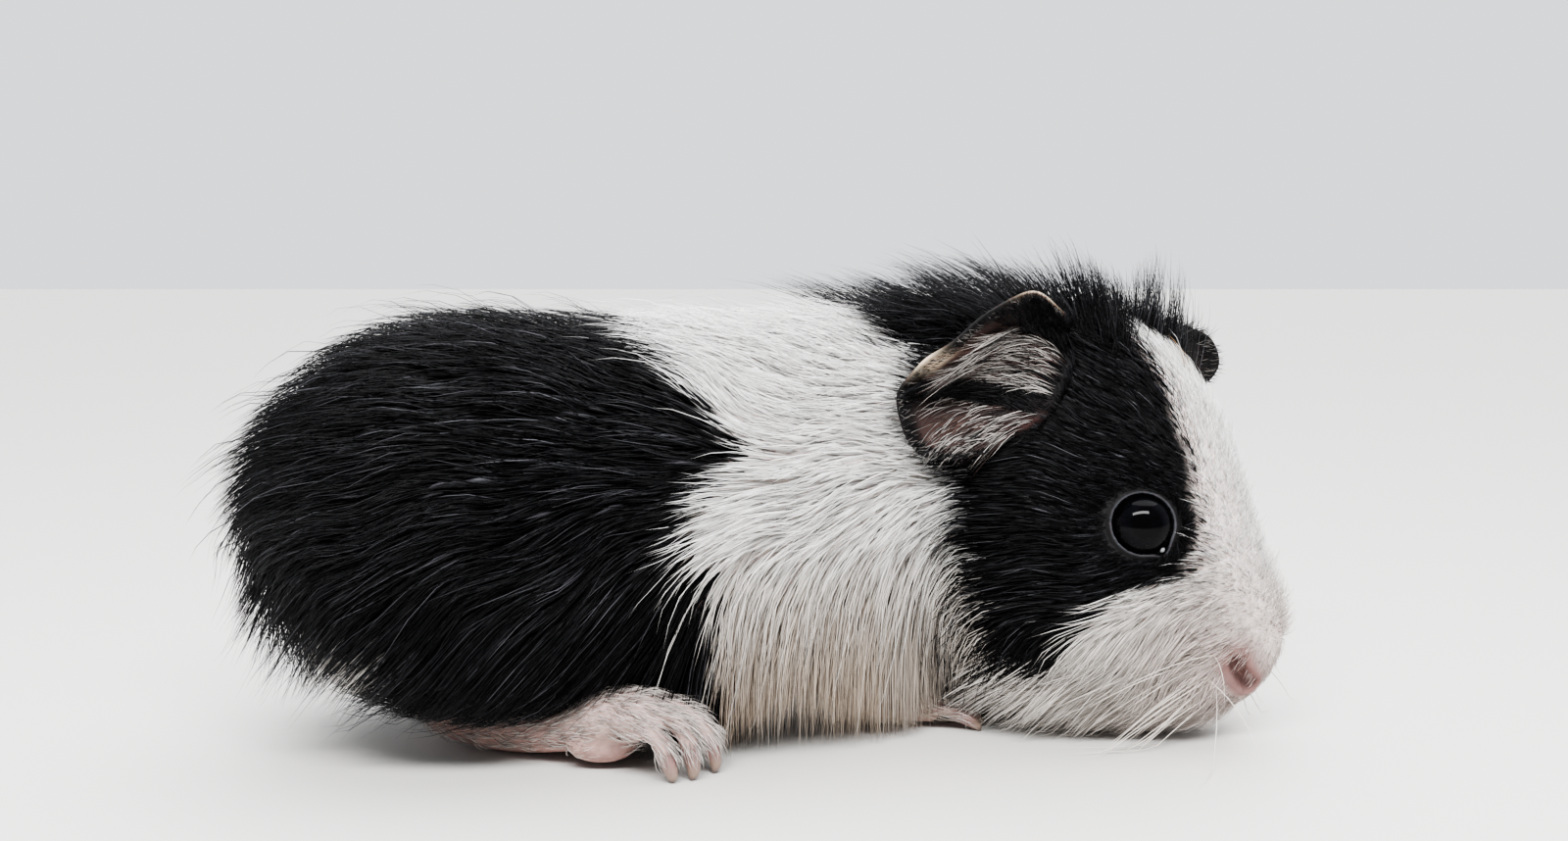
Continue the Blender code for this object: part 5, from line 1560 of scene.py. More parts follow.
def beard():
    """The white hair of the jaw and throat, which streams back and down clear of the skin."""
    count = BEARD_HAIRS
    roots, along, around = scattered(SKIN, beard_density, count, True)
    out = outward(roots)
    back = HEAD.along((-1.0, 0, 0)) + DOWN * BEARD_FALL
    forward = ramp(HEAD.local(roots)[:, 0], *BEARD_FORWARD)
    lengths = DRAWS.uniform(*BEARD_LENGTHS, count) * (1 - BEARD_SHORTER * forward)
    t = np.linspace(0, 1, 5)[None, :, None]
    flow = unit(back + out * 0.30 + DRAWS.normal(0, 0.13, (count, 3)))
    paths = roots[:, None] + flow[:, None] * lengths[:, None, None] * t
    paths = kept_above(paths + DOWN * BEARD_SAG * lengths[:, None, None] * t**2, FLOOR_CLEAR)
    paths = frizzed(clumped(paths, 0.4), 0.35 * MM)
    tones = white_tone(roots) * DRAWS.uniform(0.86, 1.06, (count, 1))
    girths = DRAWS.uniform(*BEARD_GIRTHS, count)
    coat_pieces("beard", Hairs(paths, girths, tones, on_unwrap(along, around)), "white_coat")


UNDERCOAT_LONGEST = 8 * MM
UNDERCOAT_SHARE = 0.85
UNDERCOAT_GIRTH = 0.17
UNDERCOAT_LAYERS = (0.12, 0.40)
# How much denser it is on the face, and where along the head that begins and is full
UNDERCOAT_DENSER = 1.6
UNDERCOAT_ALONG = mm(0, 20)


def undercoat_density(points):
    """Tufts an area: none where the skin is bare, and more on the face."""
    along = HEAD.local(points)[..., 0]
    return not_bare(points) * (1 + UNDERCOAT_DENSER * ramp(along, *UNDERCOAT_ALONG))


def undercoat():
    """Short, wide tufts close to the skin, which keep it from showing between the hairs."""
    roots, along, around = scattered(SKIN, undercoat_density, UNDERCOAT, True)
    lengths = np.minimum(UNDERCOAT_LONGEST, UNDERCOAT_SHARE * hair_length(roots, outward(roots)))
    lengths = lengths * DRAWS.uniform(0.8, 1.2, UNDERCOAT)
    layers = DRAWS.uniform(*UNDERCOAT_LAYERS, UNDERCOAT)
    paths = lying(roots, lengths, layers, DRAWS.normal(0, 0.1, UNDERCOAT), 2, lift=0.2)
    coat("undercoat", paths, lengths * UNDERCOAT_GIRTH, on_unwrap(along, around))


CREST_LENGTH = 16.5 * MM
# Height of the highest tips at places from back to front, and how far below it others may end
CREST_LINE = mm(
    (30, 71.0),
    (37, 73.9),
    (44, 75.6),
    (54, 78.4),
    (60, 77.2),
    (66, 78.0),
    (71, 76.0),
    (75, 71.6),
    (78, 71.6),
    (82, 75.5),
    (88, 75.0),
)
CREST_UNEVEN = 6 * MM
CREST_SPREAD = 10 * MM
# How much further forward it reaches on the left side
CREST_FURTHER = 6 * MM
CREST_SPAN = mm(-25, 17)
CREST_FLOOR = 50 * MM
# A dip in it: where along the head, how wide and how deep
CREST_DIP = mm(6, 5)
DIP_DEPTH = 0.3
CREST_LENGTHS = (0.5, 1.2)
CREST_TAPER = 0.3
BACK_LONGER = 0.22
LENGTH_WAVE = (0.12, 5 * MM)
# How far it leans back for its rise, in front and behind, and how that varies
LEAN_RANGE = (0.22, 1.3)
LEAN_ASIDE = 0.4
LEAN_WAVE = (0.30, 6 * MM)
LEAN_VARIES = (0.75, 1.25)
CREST_TURN = 0.22
TURN_WAVE = (0.3, 7 * MM)
# How much more upright it stands on the left side
LEFT_LIFT = 1.2
LEFT_SPAN = mm(0, 5)
CREST_CLUMPING = 0.6
CREST_FRIZZ = 0.6 * MM
CREST_GIRTHS = mm(0.11, 0.19)
# How rare grey hairs are in the crest, which partly stand for painted sheen streaks
CREST_GREY_SHEEN_RARITY = 7
SHORTEST_SHARE = 0.25


def crest_density(points):
    """Where the crest stands: on the crown and nape, and thinning out to the sides."""
    head = HEAD.local(points)
    left = ramp(head[..., 1], *LEFT_SPAN)
    aside = np.abs(head[..., 1]) / CREST_SPREAD * (1 - 0.25 * left)
    ahead = head[..., 0] - CREST_FURTHER * left
    along = ramp(ahead, *(CREST_SPAN[0] + mm(-4, 3))) * (1 - ramp(ahead, *(CREST_SPAN[1] + mm(-3, 1))))
    return along * (1 - ramp(aside, 0.6, 1.1)) * (head[..., 2] > CREST_FLOOR)


def crest():
    """The tuft on the nape and crown: it rises from the skin and bends back along the lie as the
    square of the way up, upright in front and leaning further back behind. A hair that would pass
    its own drawn height below the top line is made smaller about its root."""
    roots, along, around = scattered(SKIN, crest_density, CREST_STRANDS, True)
    head = HEAD.local(roots)
    forward = ramp(head[:, 0], *CREST_SPAN)
    aside = np.abs(head[:, 1]) / CREST_SPREAD
    upright, leaning = LEAN_RANGE
    leans = leaning + (upright - leaning) * forward + LEAN_ASIDE * aside
    leans = leans * (1 + LEAN_WAVE[0] * ripple(roots, LEAN_WAVE[1], 8))
    leans = leans * DRAWS.uniform(*LEAN_VARIES, CREST_STRANDS)
    dip = bell(head[:, 0], *CREST_DIP)
    lengths = CREST_LENGTH * (1 - CREST_TAPER * aside) * (1 - DIP_DEPTH * dip)
    lengths = lengths * DRAWS.uniform(*CREST_LENGTHS, CREST_STRANDS)
    lengths = lengths * (1 + LENGTH_WAVE[0] * ripple(roots, LENGTH_WAVE[1], 9))
    lengths = lengths * (1 + BACK_LONGER * (1 - forward))
    out = outward(roots)
    turns = DRAWS.normal(0, CREST_TURN, CREST_STRANDS) + TURN_WAVE[0] * ripple(roots, TURN_WAVE[1], 4)
    lie = turned(coat_lie(roots, out), out, turns)
    out = unit(out - DOWN * ramp(head[:, 1], *LEFT_SPAN)[:, None] * LEFT_LIFT)
    t = np.linspace(0, 1, 6)[None, :, None]
    rise = out[:, None] * (lengths[:, None, None] * t * (1 - 0.12 * t) - ROOT_SINK)
    back = lie[:, None] * (lengths * leans)[:, None, None] * (0.3 * t + 0.7 * t**2)
    slack = 1 / np.sqrt(1 + leans**2 * 0.5)[:, None, None]
    paths = roots[:, None] + (rise + back) * slack
    paths = frizzed(clumped(paths, CREST_CLUMPING), CREST_FRIZZ)
    foot, tip = paths[:, 0], paths[:, -1]
    top = np.interp(tip[:, 0], *CREST_LINE.T) - DRAWS.uniform(0, CREST_UNEVEN, CREST_STRANDS)
    height = np.maximum(tip[:, 2] - foot[:, 2], MM)
    share = np.clip((top - foot[:, 2]) / height, SHORTEST_SHARE, 1)
    share = np.where(tip[:, 2] > top, share, 1)[:, None, None]
    paths = foot[:, None] + (paths - foot[:, None]) * share
    girths = DRAWS.uniform(*CREST_GIRTHS, CREST_STRANDS)
    # A few grey hairs, partly painted sheen streaks
    grey = DRAWS.uniform(0, 1, (CREST_STRANDS, 1)) ** CREST_GREY_SHEEN_RARITY
    tones = BLACK + (GREY_AND_SHEEN - BLACK) * grey
    coat_pieces("crest", Hairs(paths, girths, tones, on_unwrap(along, around)), "black_coat")


SILVER = np.array([0.62, 0.58, 0.55])
NEAR_SILVERS = np.array([SILVER, SILVER * 0.7, SILVER * 0.25, EAR_BROWN * 0.8, BLACK])
FAR_SHARE = 0.3
EAR_BLACKS = np.array([BLACK, BLACK * 1.6, GREY_AND_SHEEN * 0.3])
RIM_TONES = np.array([BLACK, BLACK, GREY_AND_SHEEN * 0.3, SILVER * 0.4])
EAR_CURVE = 0.12
# The hair of an ear: tones, number, spans out from the root and round the ear, face (1 inside and
# -1 outside), aim (forwards, aside, up, out to the rim), length, girth, arch and sag
EAR_TUFTS = [
    ("silver", 560, (0.03, 0.66), (0.24, 0.52), 1, (-0.8, 0.1, 0.35, 0.5), 8.6 * MM, 0.15 * MM, 0.14, 0.36),
    ("silver", 320, (0.03, 0.75), (0.64, 0.93), 1, (-0.7, 0.1, -0.25, 0.4), 5.5 * MM, 0.15 * MM, 0.14, 0.4),
    ("black", 1150, (0.0, 0.97), (0.02, 0.98), -1, (0, 0, 0, 1), 3.2 * MM, 0.15 * MM, 0.05, 0),
    ("rim", 800, (0.88, 1.0), (0.02, 0.98), 1, (0, 0, 0, 1), 2.0 * MM, 0.12 * MM, EAR_CURVE, 0),
    ("black", 650, (0.0, 0.95), (0.02, 0.28), 1, (-0.2, 0, 0.5, 0.6), 4 * MM, 0.15 * MM, EAR_CURVE, 0),
    ("black", 500, (0.0, 0.25), (0.28, 0.66), 1, (-0.3, 0, 0.3, 0.7), 3.5 * MM, 0.15 * MM, EAR_CURVE, 0),
    ("black", 520, (0.25, 0.92), (0.54, 0.66), 1, (-0.8, 0, 0.1, 0.4), 4.5 * MM, 0.15 * MM, 0.2, 0),
]


def ear_places(side, rows, columns):
    """Places on the unwrap for roots at shares out from an ear's root and round it."""
    low, high = EAR_UNWRAP
    return np.stack([low + (high - low) * rows, 0.25 + 0.25 * side + 0.44 * columns], axis=-1)


def ear_hairs(side, tones, count, out_span, round_span, face, aim, length, girth, arch, sag):
    """Hairs on one face of an ear, drawn evenly within spans out from its root and round it. Each
    is an arc that leaves the face, leans along aim and comes back near it at the tip, and sags as
    the square of the way along."""
    sheet, normal, _ = ear_shell(side)
    if np.sum(normal * on_side(side, EAR_CUP[side])) > 0:
        normal = -normal
    normal = normal * face
    rows = DRAWS.uniform(*out_span, count)
    columns = DRAWS.uniform(*round_span, count)
    at = ((rows * (EAR_ROWS - 1)).astype(int) + 1, (columns * (EAR_COLUMNS - 1)).astype(int))
    roots, facing = sheet[at], normal[at]
    onward = sheet[np.minimum(at[0] + 1, EAR_ROWS), at[1]] - roots
    lie = unit(onward) * aim[3] + on_side(side, aim[:3]) + DRAWS.normal(0, 0.12, (count, 3))
    lie = unit(lie - facing * np.sum(lie * facing, axis=-1, keepdims=True))
    lengths = (length * DRAWS.uniform(0.6, 1.2, count))[:, None, None]
    t = np.linspace(0, 1, 5 if sag else 4)[None, :, None]
    off = EAR_HALF_THICKNESS + lengths * arch * np.sin(math.pi * t * 0.8)
    paths = roots[:, None] + facing[:, None] * off
    droop = DOWN * lengths * (sag * DRAWS.uniform(0.3, 1.4, count))[:, None, None] * t**2
    paths = HEAD.at(paths + lie[:, None] * lengths * t + droop)
    paths = frizzed(paths, 0.25 * MM)
    tone = tones[DRAWS.integers(0, len(tones), count)] * DRAWS.uniform(0.7, 1.1, (count, 1))
    return Hairs(paths, girth * DRAWS.uniform(0.7, 1.2, count), tone, ear_places(side, rows, columns))


def together(groups):
    """Several groups of hairs with equally many places each, as one."""
    arrays = [[getattr(g, kind) for g in groups] for kind in ("paths", "girths", "tones", "places")]
    return Hairs(*(np.concatenate(array) for array in arrays))


def ear_coat():
    """Silvery hair inside the ears, which runs back from the canal over both lobes, and short
    black hair outside, along the rim, at the root and in the fold between the lobes."""
    pale, dark = [], []
    for side in (-1, 1):
        silvers = NEAR_SILVERS * (1 if side < 0 else FAR_SHARE)
        palette = {"silver": silvers, "black": EAR_BLACKS, "rim": RIM_TONES}
        for kind, *tuft in EAR_TUFTS:
            group = pale if kind == "silver" else dark
            group.append(ear_hairs(side, palette[kind], *tuft))
    coat_pieces("ear_silver", together(pale), "white_coat")
    coat_pieces("ear_black", together(dark), "black_coat")


GINGER = np.array([0.33, 0.20, 0.105])
GINGER_HAIRS = 200
# Where it grows along and up the head, and how far it spreads
GINGER_ALONG = mm(20.5, 1.8)
GINGER_UP = mm(50.5, 3.0)
GINGER_LENGTHS = mm(5, 9)
GINGER_GIRTH = 0.17 * MM


def ginger_tuft():
    """A few ginger hairs in front of the far ear, lying up and back along the temple."""
    count = GINGER_HAIRS
    along = DRAWS.normal(*GINGER_ALONG, count)
    up = DRAWS.normal(*GINGER_UP, count)
    roots = HEAD.at(on_skin(1, along, up))
    lengths = DRAWS.uniform(*GINGER_LENGTHS, count)
    paths = lying(roots, lengths, DRAWS.uniform(0.8, 1.5, count), np.zeros(count), 4)
    tones = GINGER * DRAWS.uniform(0.15, 1.5, (count, 1))
    spots_along, spots_around = DRAWS.uniform(0, 1, (2, count)) * 0.05
    places = on_unwrap(0.8 + spots_along, 0.1 + spots_around)
    coat_pieces("ginger_tuft", Hairs(paths, np.full(count, GINGER_GIRTH), tones, places), "black_coat")


FOOT_HAIRS = {"fore": 1200, "hind": 3000}
FOOT_LENGTHS = mm(2.0, 3.6)
FOOT_GIRTHS = mm(0.10, 0.17)
# The pad behind the toes is bare out to these distances, and so is skin that faces down more
# than this
PAD_BARE = mm(2.8, 4.4)
SOLE_FACING = -0.6
# How much longer the hair is near the last toe, and on a foreleg behind its foremost point
TOE_LONGER = 1.2 * MM
TOE_NEAR = mm(9, 3)
FURRY_LONGER = 2.5 * MM
FURRY_SPAN = mm(4, 8)
FURRY_TONE = 0.9
FOOT_TONES = (0.25, 0.92)
FOOT_PINKER = np.array([1.0, 0.92, 0.88])
FOOT_SINK = 0.15 * MM
# The share of a foot hair's colour that the painted shade at its root leaves
FOOT_PAINTED_SHADE = 0.8
LINE_STEPS = 12


def foot_coat():
    """Short pale hair on the legs, lying towards the toes. It is longer near the last toe and
    longest on the forelegs behind the paws, and the pad behind the hind toes is bare."""
    groups = []
    for number, (kind, side) in enumerate(LEGS):
        count = FOOT_HAIRS[kind]
        points, faces = LEG_SURFACES[(kind, side)]
        a, b, c = (points[faces[0][:, k]] for k in range(3))
        across = np.cross(b - a, c - a)
        normal = unit(across)
        weight = np.linalg.norm(across, axis=-1) * (normal[:, 2] > SOLE_FACING)
        pad = placed(side, kind, [FOOT_PADS[0][0]])[0]
        weight = weight * ramp(np.linalg.norm(a - pad, axis=-1), *PAD_BARE)
        drawn = DRAWS.choice(len(a), count, p=weight / weight.sum())
        s, t = np.sort(DRAWS.uniform(0, 1, (2, count)), axis=0)[:, :, None]
        roots = a[drawn] * s + b[drawn] * (t - s) + c[drawn] * (1 - t)
        lines = [ARM_LINE if kind == "fore" else FOOT_LINE] + [toe for toe, _ in toes(kind)]
        lines = [smooth_path(placed(side, kind, line), LINE_STEPS) for line in lines]
        places = np.concatenate(lines)
        onward = np.concatenate([unit(np.gradient(line, axis=0)) for line in lines])
        apart = np.linalg.norm(roots[:, None] - places, axis=-1)
        lie = unit(onward[np.argmin(apart, axis=1)] + DRAWS.normal(0, 0.15, (count, 3)))
        out = normal[drawn]
        lie = unit(lie - out * np.sum(lie * out, axis=-1, keepdims=True))
        near_toe = ramp(apart[:, -LINE_STEPS:].min(axis=1), *TOE_NEAR)
        furry = 0 if kind == "hind" else ramp(points[:, 0].max() - roots[:, 0], *FURRY_SPAN)
        lengths = DRAWS.uniform(*FOOT_LENGTHS, count) + TOE_LONGER * near_toe + FURRY_LONGER * furry
        t = np.linspace(0, 1, 4)[None, :, None]
        reach = lengths[:, None, None]
        rise = out[:, None] * (reach * 0.22 * np.sin(math.pi * t * 0.75) - FOOT_SINK)
        paths = kept_above(roots[:, None] + lie[:, None] * reach * t + rise, FLOOR_CLEAR)
        tones = WHITE * DRAWS.uniform(*FOOT_TONES, (count, 1)) * FOOT_PINKER
        if kind == "fore":
            tones = tones + (white_tone(roots) * FURRY_TONE - tones) * furry[:, None]
        low, high = LEG_UNWRAP
        span = (roots[:, 0] - points[:, 0].min()) / np.ptp(points[:, 0])
        turn = np.arctan2(out[:, 2], out[:, 1]) / (2 * math.pi) + 0.5
        spots = np.stack([low + (high - low) * span, (number + 0.05 + 0.9 * turn) / 4], axis=-1)
        groups.append(Hairs(paths, DRAWS.uniform(*FOOT_GIRTHS, count), tones, spots))
    coat_pieces("foot_hair", together(groups), "white_coat", FOOT_PAINTED_SHADE)


WHISKER_TONE = np.array([0.72, 0.66, 0.60])
WHISKERS_A_SIDE = 30
WHISKER_ROWS = 5
# Where they grow: the foremost place along the head and how far back, and the lowest row's height
WHISKER_FRONT = 31.6 * MM
WHISKER_BACK = 3.6 * MM
WHISKER_LOW = 8.6 * MM
ROW_PITCH = 1.5 * MM
ROW_SPREAD = 0.3 * MM
WHISKER_LENGTHS = mm(12, 27)
WHISKER_GIRTHS = mm(0.16, 0.26)
# The share of a whisker's colour that the painted shade at its root leaves
WHISKER_PAINTED_SHADE = 0.9
# The share that reach ahead on the right side and on the left
AHEAD_SHARE = {-1: 0.12, 1: 0.35}
WHISKER_SAG = 0.34
WHISKER_SWEEP = 0.18
WHISKER_LIFT = 0.4 * MM


def whiskers():
    """Long pale whiskers from the pads beside the nose, most of them swept back and down to the
    floor by a bend that grows with the square of the way along, and a few reaching ahead."""
    groups = []
    count = WHISKERS_A_SIDE
    rows = np.arange(count) % WHISKER_ROWS
    for side in (-1, 1):
        along = WHISKER_FRONT - DRAWS.uniform(0, WHISKER_BACK, count)
        up = WHISKER_LOW + rows * ROW_PITCH + DRAWS.normal(0, ROW_SPREAD, count)
        roots = HEAD.at(on_skin(side, along, up))
        ahead = DRAWS.uniform(0, 1, count) < AHEAD_SHARE[side]
        forwards = np.where(ahead, 0.35, -0.85)
        aim = np.stack([forwards, np.full(count, 0.62), -0.30 + 0.16 * (rows - 2)], axis=-1)
        aim = unit(HEAD.along(on_side(side, aim + DRAWS.normal(0, 0.13, (count, 3)))))
        lengths = (DRAWS.uniform(*WHISKER_LENGTHS, count) * (1 - 0.07 * rows))[:, None, None]
        t = np.linspace(0, 1, 10)[None, :, None]
        sag = (DOWN * WHISKER_SAG + HEAD.along((-WHISKER_SWEEP, 0, 0))) * lengths * t**2
        paths = roots[:, None] + aim[:, None] * lengths * t + sag
        paths = kept_above(paths, FLOOR_CLEAR + WHISKER_LIFT * (1 - t[..., 0]))
        spots_along, spots_around = DRAWS.uniform(0, 1, (2, count))
        spots = on_unwrap(0.78 + 0.03 * spots_along, 0.4 + 0.2 * spots_around)
        tones = np.repeat(WHISKER_TONE[None], count, axis=0)
        groups.append(Hairs(paths, DRAWS.uniform(*WHISKER_GIRTHS, count), tones, spots))
    coat_pieces("whiskers", together(groups), "white_coat", WHISKER_PAINTED_SHADE)


body_coat()
head_coat()
undercoat()
lid_coat()
beard()
crest()
ear_coat()
ginger_tuft()
foot_coat()
whiskers()


# Materials


def effect(name, inputs, outputs):
    """An empty node group with sockets given as (name, kind, value), and its two end nodes."""
    made = bpy.data.node_groups.new(name, "ShaderNodeTree")
    for label, kind, value in inputs:
        socket = made.interface.new_socket(label, in_out="INPUT", socket_type=kind)
        socket.default_value = value
    for label, kind in outputs:
        made.interface.new_socket(label, in_out="OUTPUT", socket_type=kind)
    return made, made.nodes.new("NodeGroupInput"), made.nodes.new("NodeGroupOutput")


# The range that noise mostly keeps to
NOISE_SPAN = (0.3, 0.7)


def spread_over(nodes, low, high):
    """A node that spreads noise from one value to another."""
    made = nodes.new("ShaderNodeMapRange")
    made.inputs["From Min"].default_value = NOISE_SPAN[0]
    made.inputs["From Max"].default_value = NOISE_SPAN[1]
    made.inputs["To Min"].default_value = low
    made.inputs["To Max"].default_value = high
    return made


def uneven_tone():
    """Colour made lighter and darker in patches: tone times 1 plus amount times noise."""
    made, given, result = effect(
        "uneven_tone",
        [
            ("Tone", "NodeSocketColor", (0.5, 0.5, 0.5, 1)),
            ("Amount", "NodeSocketFloat", 0.2),
            ("Scale", "NodeSocketFloat", 400.0),
        ],
        [("Tone", "NodeSocketColor")],
    )
    nodes, links = made.nodes, made.links
    place = nodes.new("ShaderNodeTexCoord")
    noise = nodes.new("ShaderNodeTexNoise")
    noise.inputs["Detail"].default_value = 4
    spread = spread_over(nodes, -1, 1)
    more = nodes.new("ShaderNodeMath")
    more.operation = "MULTIPLY_ADD"
    more.inputs[2].default_value = 1
    scaled = nodes.new("ShaderNodeVectorMath")
    scaled.operation = "SCALE"
    links.new(place.outputs["Object"], noise.inputs["Vector"])
    links.new(given.outputs["Scale"], noise.inputs["Scale"])
    links.new(noise.outputs["Fac"], spread.inputs["Value"])
    links.new(spread.outputs["Result"], more.inputs[0])
    links.new(given.outputs["Amount"], more.inputs[1])
    links.new(given.outputs["Tone"], scaled.inputs[0])
    links.new(more.outputs["Value"], scaled.inputs["Scale"])
    links.new(scaled.outputs["Vector"], result.inputs["Tone"])
    return made


def fine_relief():
    """Heights of fine grain: cells the size of pores over a slower noise."""
    made, given, result = effect(
        "fine_relief",
        [("Scale", "NodeSocketFloat", 3000.0), ("Pores", "NodeSocketFloat", 0.6)],
        [("Height", "NodeSocketFloat")],
    )
    nodes, links = made.nodes, made.links
    place = nodes.new("ShaderNodeTexCoord")
    cells = nodes.new("ShaderNodeTexVoronoi")
    noise = nodes.new("ShaderNodeTexNoise")
    noise.inputs["Detail"].default_value = 5
    mixed = nodes.new("ShaderNodeMix")
    for texture in (cells, noise):
        links.new(place.outputs["Object"], texture.inputs["Vector"])
        links.new(given.outputs["Scale"], texture.inputs["Scale"])
    links.new(given.outputs["Pores"], mixed.inputs["Factor"])
    links.new(noise.outputs["Fac"], mixed.inputs["A"])
    links.new(cells.outputs["Distance"], mixed.inputs["B"])
    links.new(mixed.outputs["Result"], result.inputs["Height"])
    return made


UNEVEN_TONE = uneven_tone()
FINE_RELIEF = fine_relief()
ROUGHNESS_SCALE = 0.6
BUMP_STRENGTH = 0.8


def finish(name, amount, scale, roughness, relief=None, **values):
    """A material that takes its colour from the Tint attribute, made a little uneven, with its
    roughness varied between two values, fine relief as (scale, pores, distance) and any of the
    shader's own values, by socket name with underscores."""
    made = bpy.data.materials.new(name)
    made.use_nodes = True
    nodes, links = made.node_tree.nodes, made.node_tree.links
    shader = nodes["Principled BSDF"]
    tint_of = nodes.new("ShaderNodeAttribute")
    tint_of.attribute_name = "Tint"
    uneven = nodes.new("ShaderNodeGroup")
    uneven.node_tree = UNEVEN_TONE
    uneven.inputs["Amount"].default_value = amount
    uneven.inputs["Scale"].default_value = scale
    links.new(tint_of.outputs["Color"], uneven.inputs["Tone"])
    links.new(uneven.outputs["Tone"], shader.inputs["Base Color"])
    place = nodes.new("ShaderNodeTexCoord")
    noise = nodes.new("ShaderNodeTexNoise")
    noise.inputs["Scale"].default_value = scale * ROUGHNESS_SCALE
    spread = spread_over(nodes, *roughness)
    links.new(place.outputs["Object"], noise.inputs["Vector"])
    links.new(noise.outputs["Fac"], spread.inputs["Value"])
    links.new(spread.outputs["Result"], shader.inputs["Roughness"])
    if relief:
        grain_scale, pores, distance = relief
        grain = nodes.new("ShaderNodeGroup")
        grain.node_tree = FINE_RELIEF
        grain.inputs["Scale"].default_value = grain_scale
        grain.inputs["Pores"].default_value = pores
        bump = nodes.new("ShaderNodeBump")
        bump.inputs["Strength"].default_value = BUMP_STRENGTH
        bump.inputs["Distance"].default_value = distance
        links.new(grain.outputs["Height"], bump.inputs["Height"])
        links.new(bump.outputs["Normal"], shader.inputs["Normal"])
    for socket, value in values.items():
        shader.inputs[socket.replace("_", " ")].default_value = value
    return made


BLACK_HAIR = finish("black_hair", 0.25, 300, (0.36, 0.50), Specular_IOR_Level=0.14)
WHITE_HAIR = finish("white_hair", 0.07, 260, (0.42, 0.58), Specular_IOR_Level=0.4)
SKIN_FINISH = finish(
    "bare_skin",
    0.16,
    600,
    (0.60, 0.80),
    relief=(2600, 0.6, 0.08 * MM),
    Specular_IOR_Level=0.22,
    Subsurface_Weight=0.12,
    Subsurface_Scale=0.002,
)
EYE_FINISH = finish("wet_eye", 0.3, 900, (0.02, 0.05), Coat_Weight=0.15, Coat_Roughness=0.02, IOR=1.05)
HORN_FINISH = finish("claw_horn", 0.12, 900, (0.26, 0.38), relief=(1800, 0.2, 0.04 * MM), Coat_Weight=0.2)

for piece, slot in COAT:
    piece.data.materials.append(BLACK_HAIR if slot == "black_coat" else WHITE_HAIR)
skin.data.materials.append(SKIN_FINISH)
for eye in EYES:
    eye.data.materials.append(EYE_FINISH)
for claw in CLAWS:
    claw.data.materials.append(HORN_FINISH)


# Floor, light and camera

FLOOR_TONE = (0.62, 0.61, 0.59, 1)
AIM = Vector((0.02, 0, 0.03))
SENSOR_WIDTH = 36
# The photo's width, focal length and the height of its horizon over its middle, in its pixels
PHOTO_WIDTH = 1600
FOCAL_LENGTH = 1800
HORIZON_RISE = 216
CAMERA_PLACE = (0.02525, -0.270, 0.080)
CAMERA_PITCH = math.atan(HORIZON_RISE / FOCAL_LENGTH)
FLOOR_HALF = 1.5
FLOOR_ROUGHNESS = 0.6
ROOM_TONE = (0.86, 0.88, 0.91, 1)
# The room's light on the camera's side and on the far side, and where it changes
ROOM_LIGHT = (0.42, 1.38)
ROOM_SPAN = (-0.7, 0.5)
SKY_LIGHT = 5.0
SKY_SPREAD = math.radians(70)
SKY_TURN = (math.radians(-22), math.radians(8), 0)
LAMP_PLACE = (0.03, -0.36, 0.45)
LAMP_SIZE = (0.52, 0.09)
LAMP_POWER = 7.6


def make_floor():
    """A plain pale floor: one flat square."""
    corners = np.array([(-1, -1, 0), (1, -1, 0), (1, 1, 0), (-1, 1, 0)]) * FLOOR_HALF
    floor = new_mesh("floor", corners, [np.array([[0, 1, 2, 3]])])
    plain = bpy.data.materials.new("pale_floor")
    plain.use_nodes = True
    shader = plain.node_tree.nodes["Principled BSDF"]
    shader.inputs["Base Color"].default_value = FLOOR_TONE
    shader.inputs["Roughness"].default_value = FLOOR_ROUGHNESS
    floor.data.materials.append(plain)


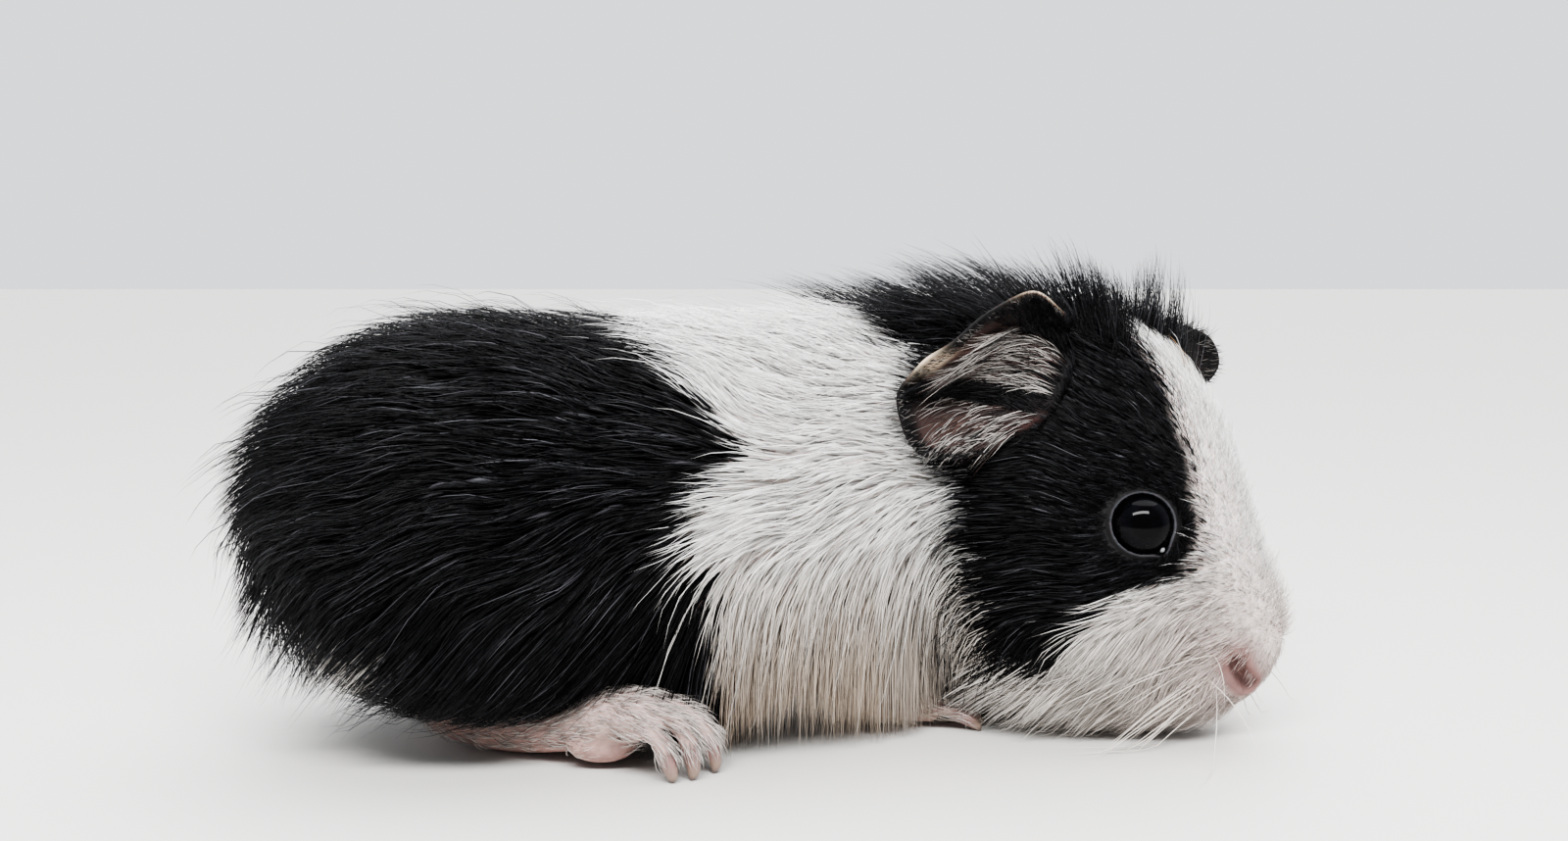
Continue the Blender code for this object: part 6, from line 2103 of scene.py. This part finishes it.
def soft_light(name, place, size, power):
    """A flat oblong light that faces the animal."""
    lamp = bpy.data.lights.new(name, "AREA")
    lamp.shape = "RECTANGLE"
    lamp.size, lamp.size_y = size
    lamp.energy = power
    made = bpy.data.objects.new(name, lamp)
    made.location = place
    made.rotation_euler = (AIM - Vector(place)).to_track_quat("-Z", "Y").to_euler()
    bpy.context.scene.collection.objects.link(made)


def make_light():
    """A pale room that is lighter on the far side, with one wide lamp in front and a soft light
    from above and behind."""
    world = bpy.data.worlds.new("soft_room")
    world.use_nodes = True
    nodes, links = world.node_tree.nodes, world.node_tree.links
    place = nodes.new("ShaderNodeTexCoord")
    parts = nodes.new("ShaderNodeSeparateXYZ")
    wall = nodes.new("ShaderNodeMapRange")
    wall.interpolation_type = "SMOOTHSTEP"
    for socket, value in zip(("From Min", "From Max", "To Min", "To Max"), (*ROOM_SPAN, *ROOM_LIGHT)):
        wall.inputs[socket].default_value = value
    links.new(place.outputs["Generated"], parts.inputs["Vector"])
    links.new(parts.outputs["Y"], wall.inputs["Value"])
    links.new(wall.outputs["Result"], nodes["Background"].inputs["Strength"])
    nodes["Background"].inputs["Color"].default_value = ROOM_TONE
    bpy.context.scene.world = world
    soft_light("key", LAMP_PLACE, LAMP_SIZE, LAMP_POWER)
    above = bpy.data.lights.new("above", "SUN")
    above.energy = SKY_LIGHT
    above.angle = SKY_SPREAD
    lamp = bpy.data.objects.new("above", above)
    lamp.rotation_euler = SKY_TURN
    bpy.context.scene.collection.objects.link(lamp)


def make_camera():
    """The photo's view of the animal."""
    lens = bpy.data.cameras.new("photo_view")
    lens.sensor_width = SENSOR_WIDTH
    lens.lens = SENSOR_WIDTH * FOCAL_LENGTH / PHOTO_WIDTH
    lens.clip_start = 0.01
    made = bpy.data.objects.new("photo_view", lens)
    made.location = CAMERA_PLACE
    made.rotation_euler = (math.pi / 2 - CAMERA_PITCH, 0, 0)
    bpy.context.scene.collection.objects.link(made)
    bpy.context.scene.camera = made


bpy.context.scene.view_settings.look = "AgX - Medium High Contrast"
make_floor()
make_light()
make_camera()
for piece in [skin, *EYES, *CLAWS, *(piece for piece, _ in COAT)]:
    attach(piece, "root")
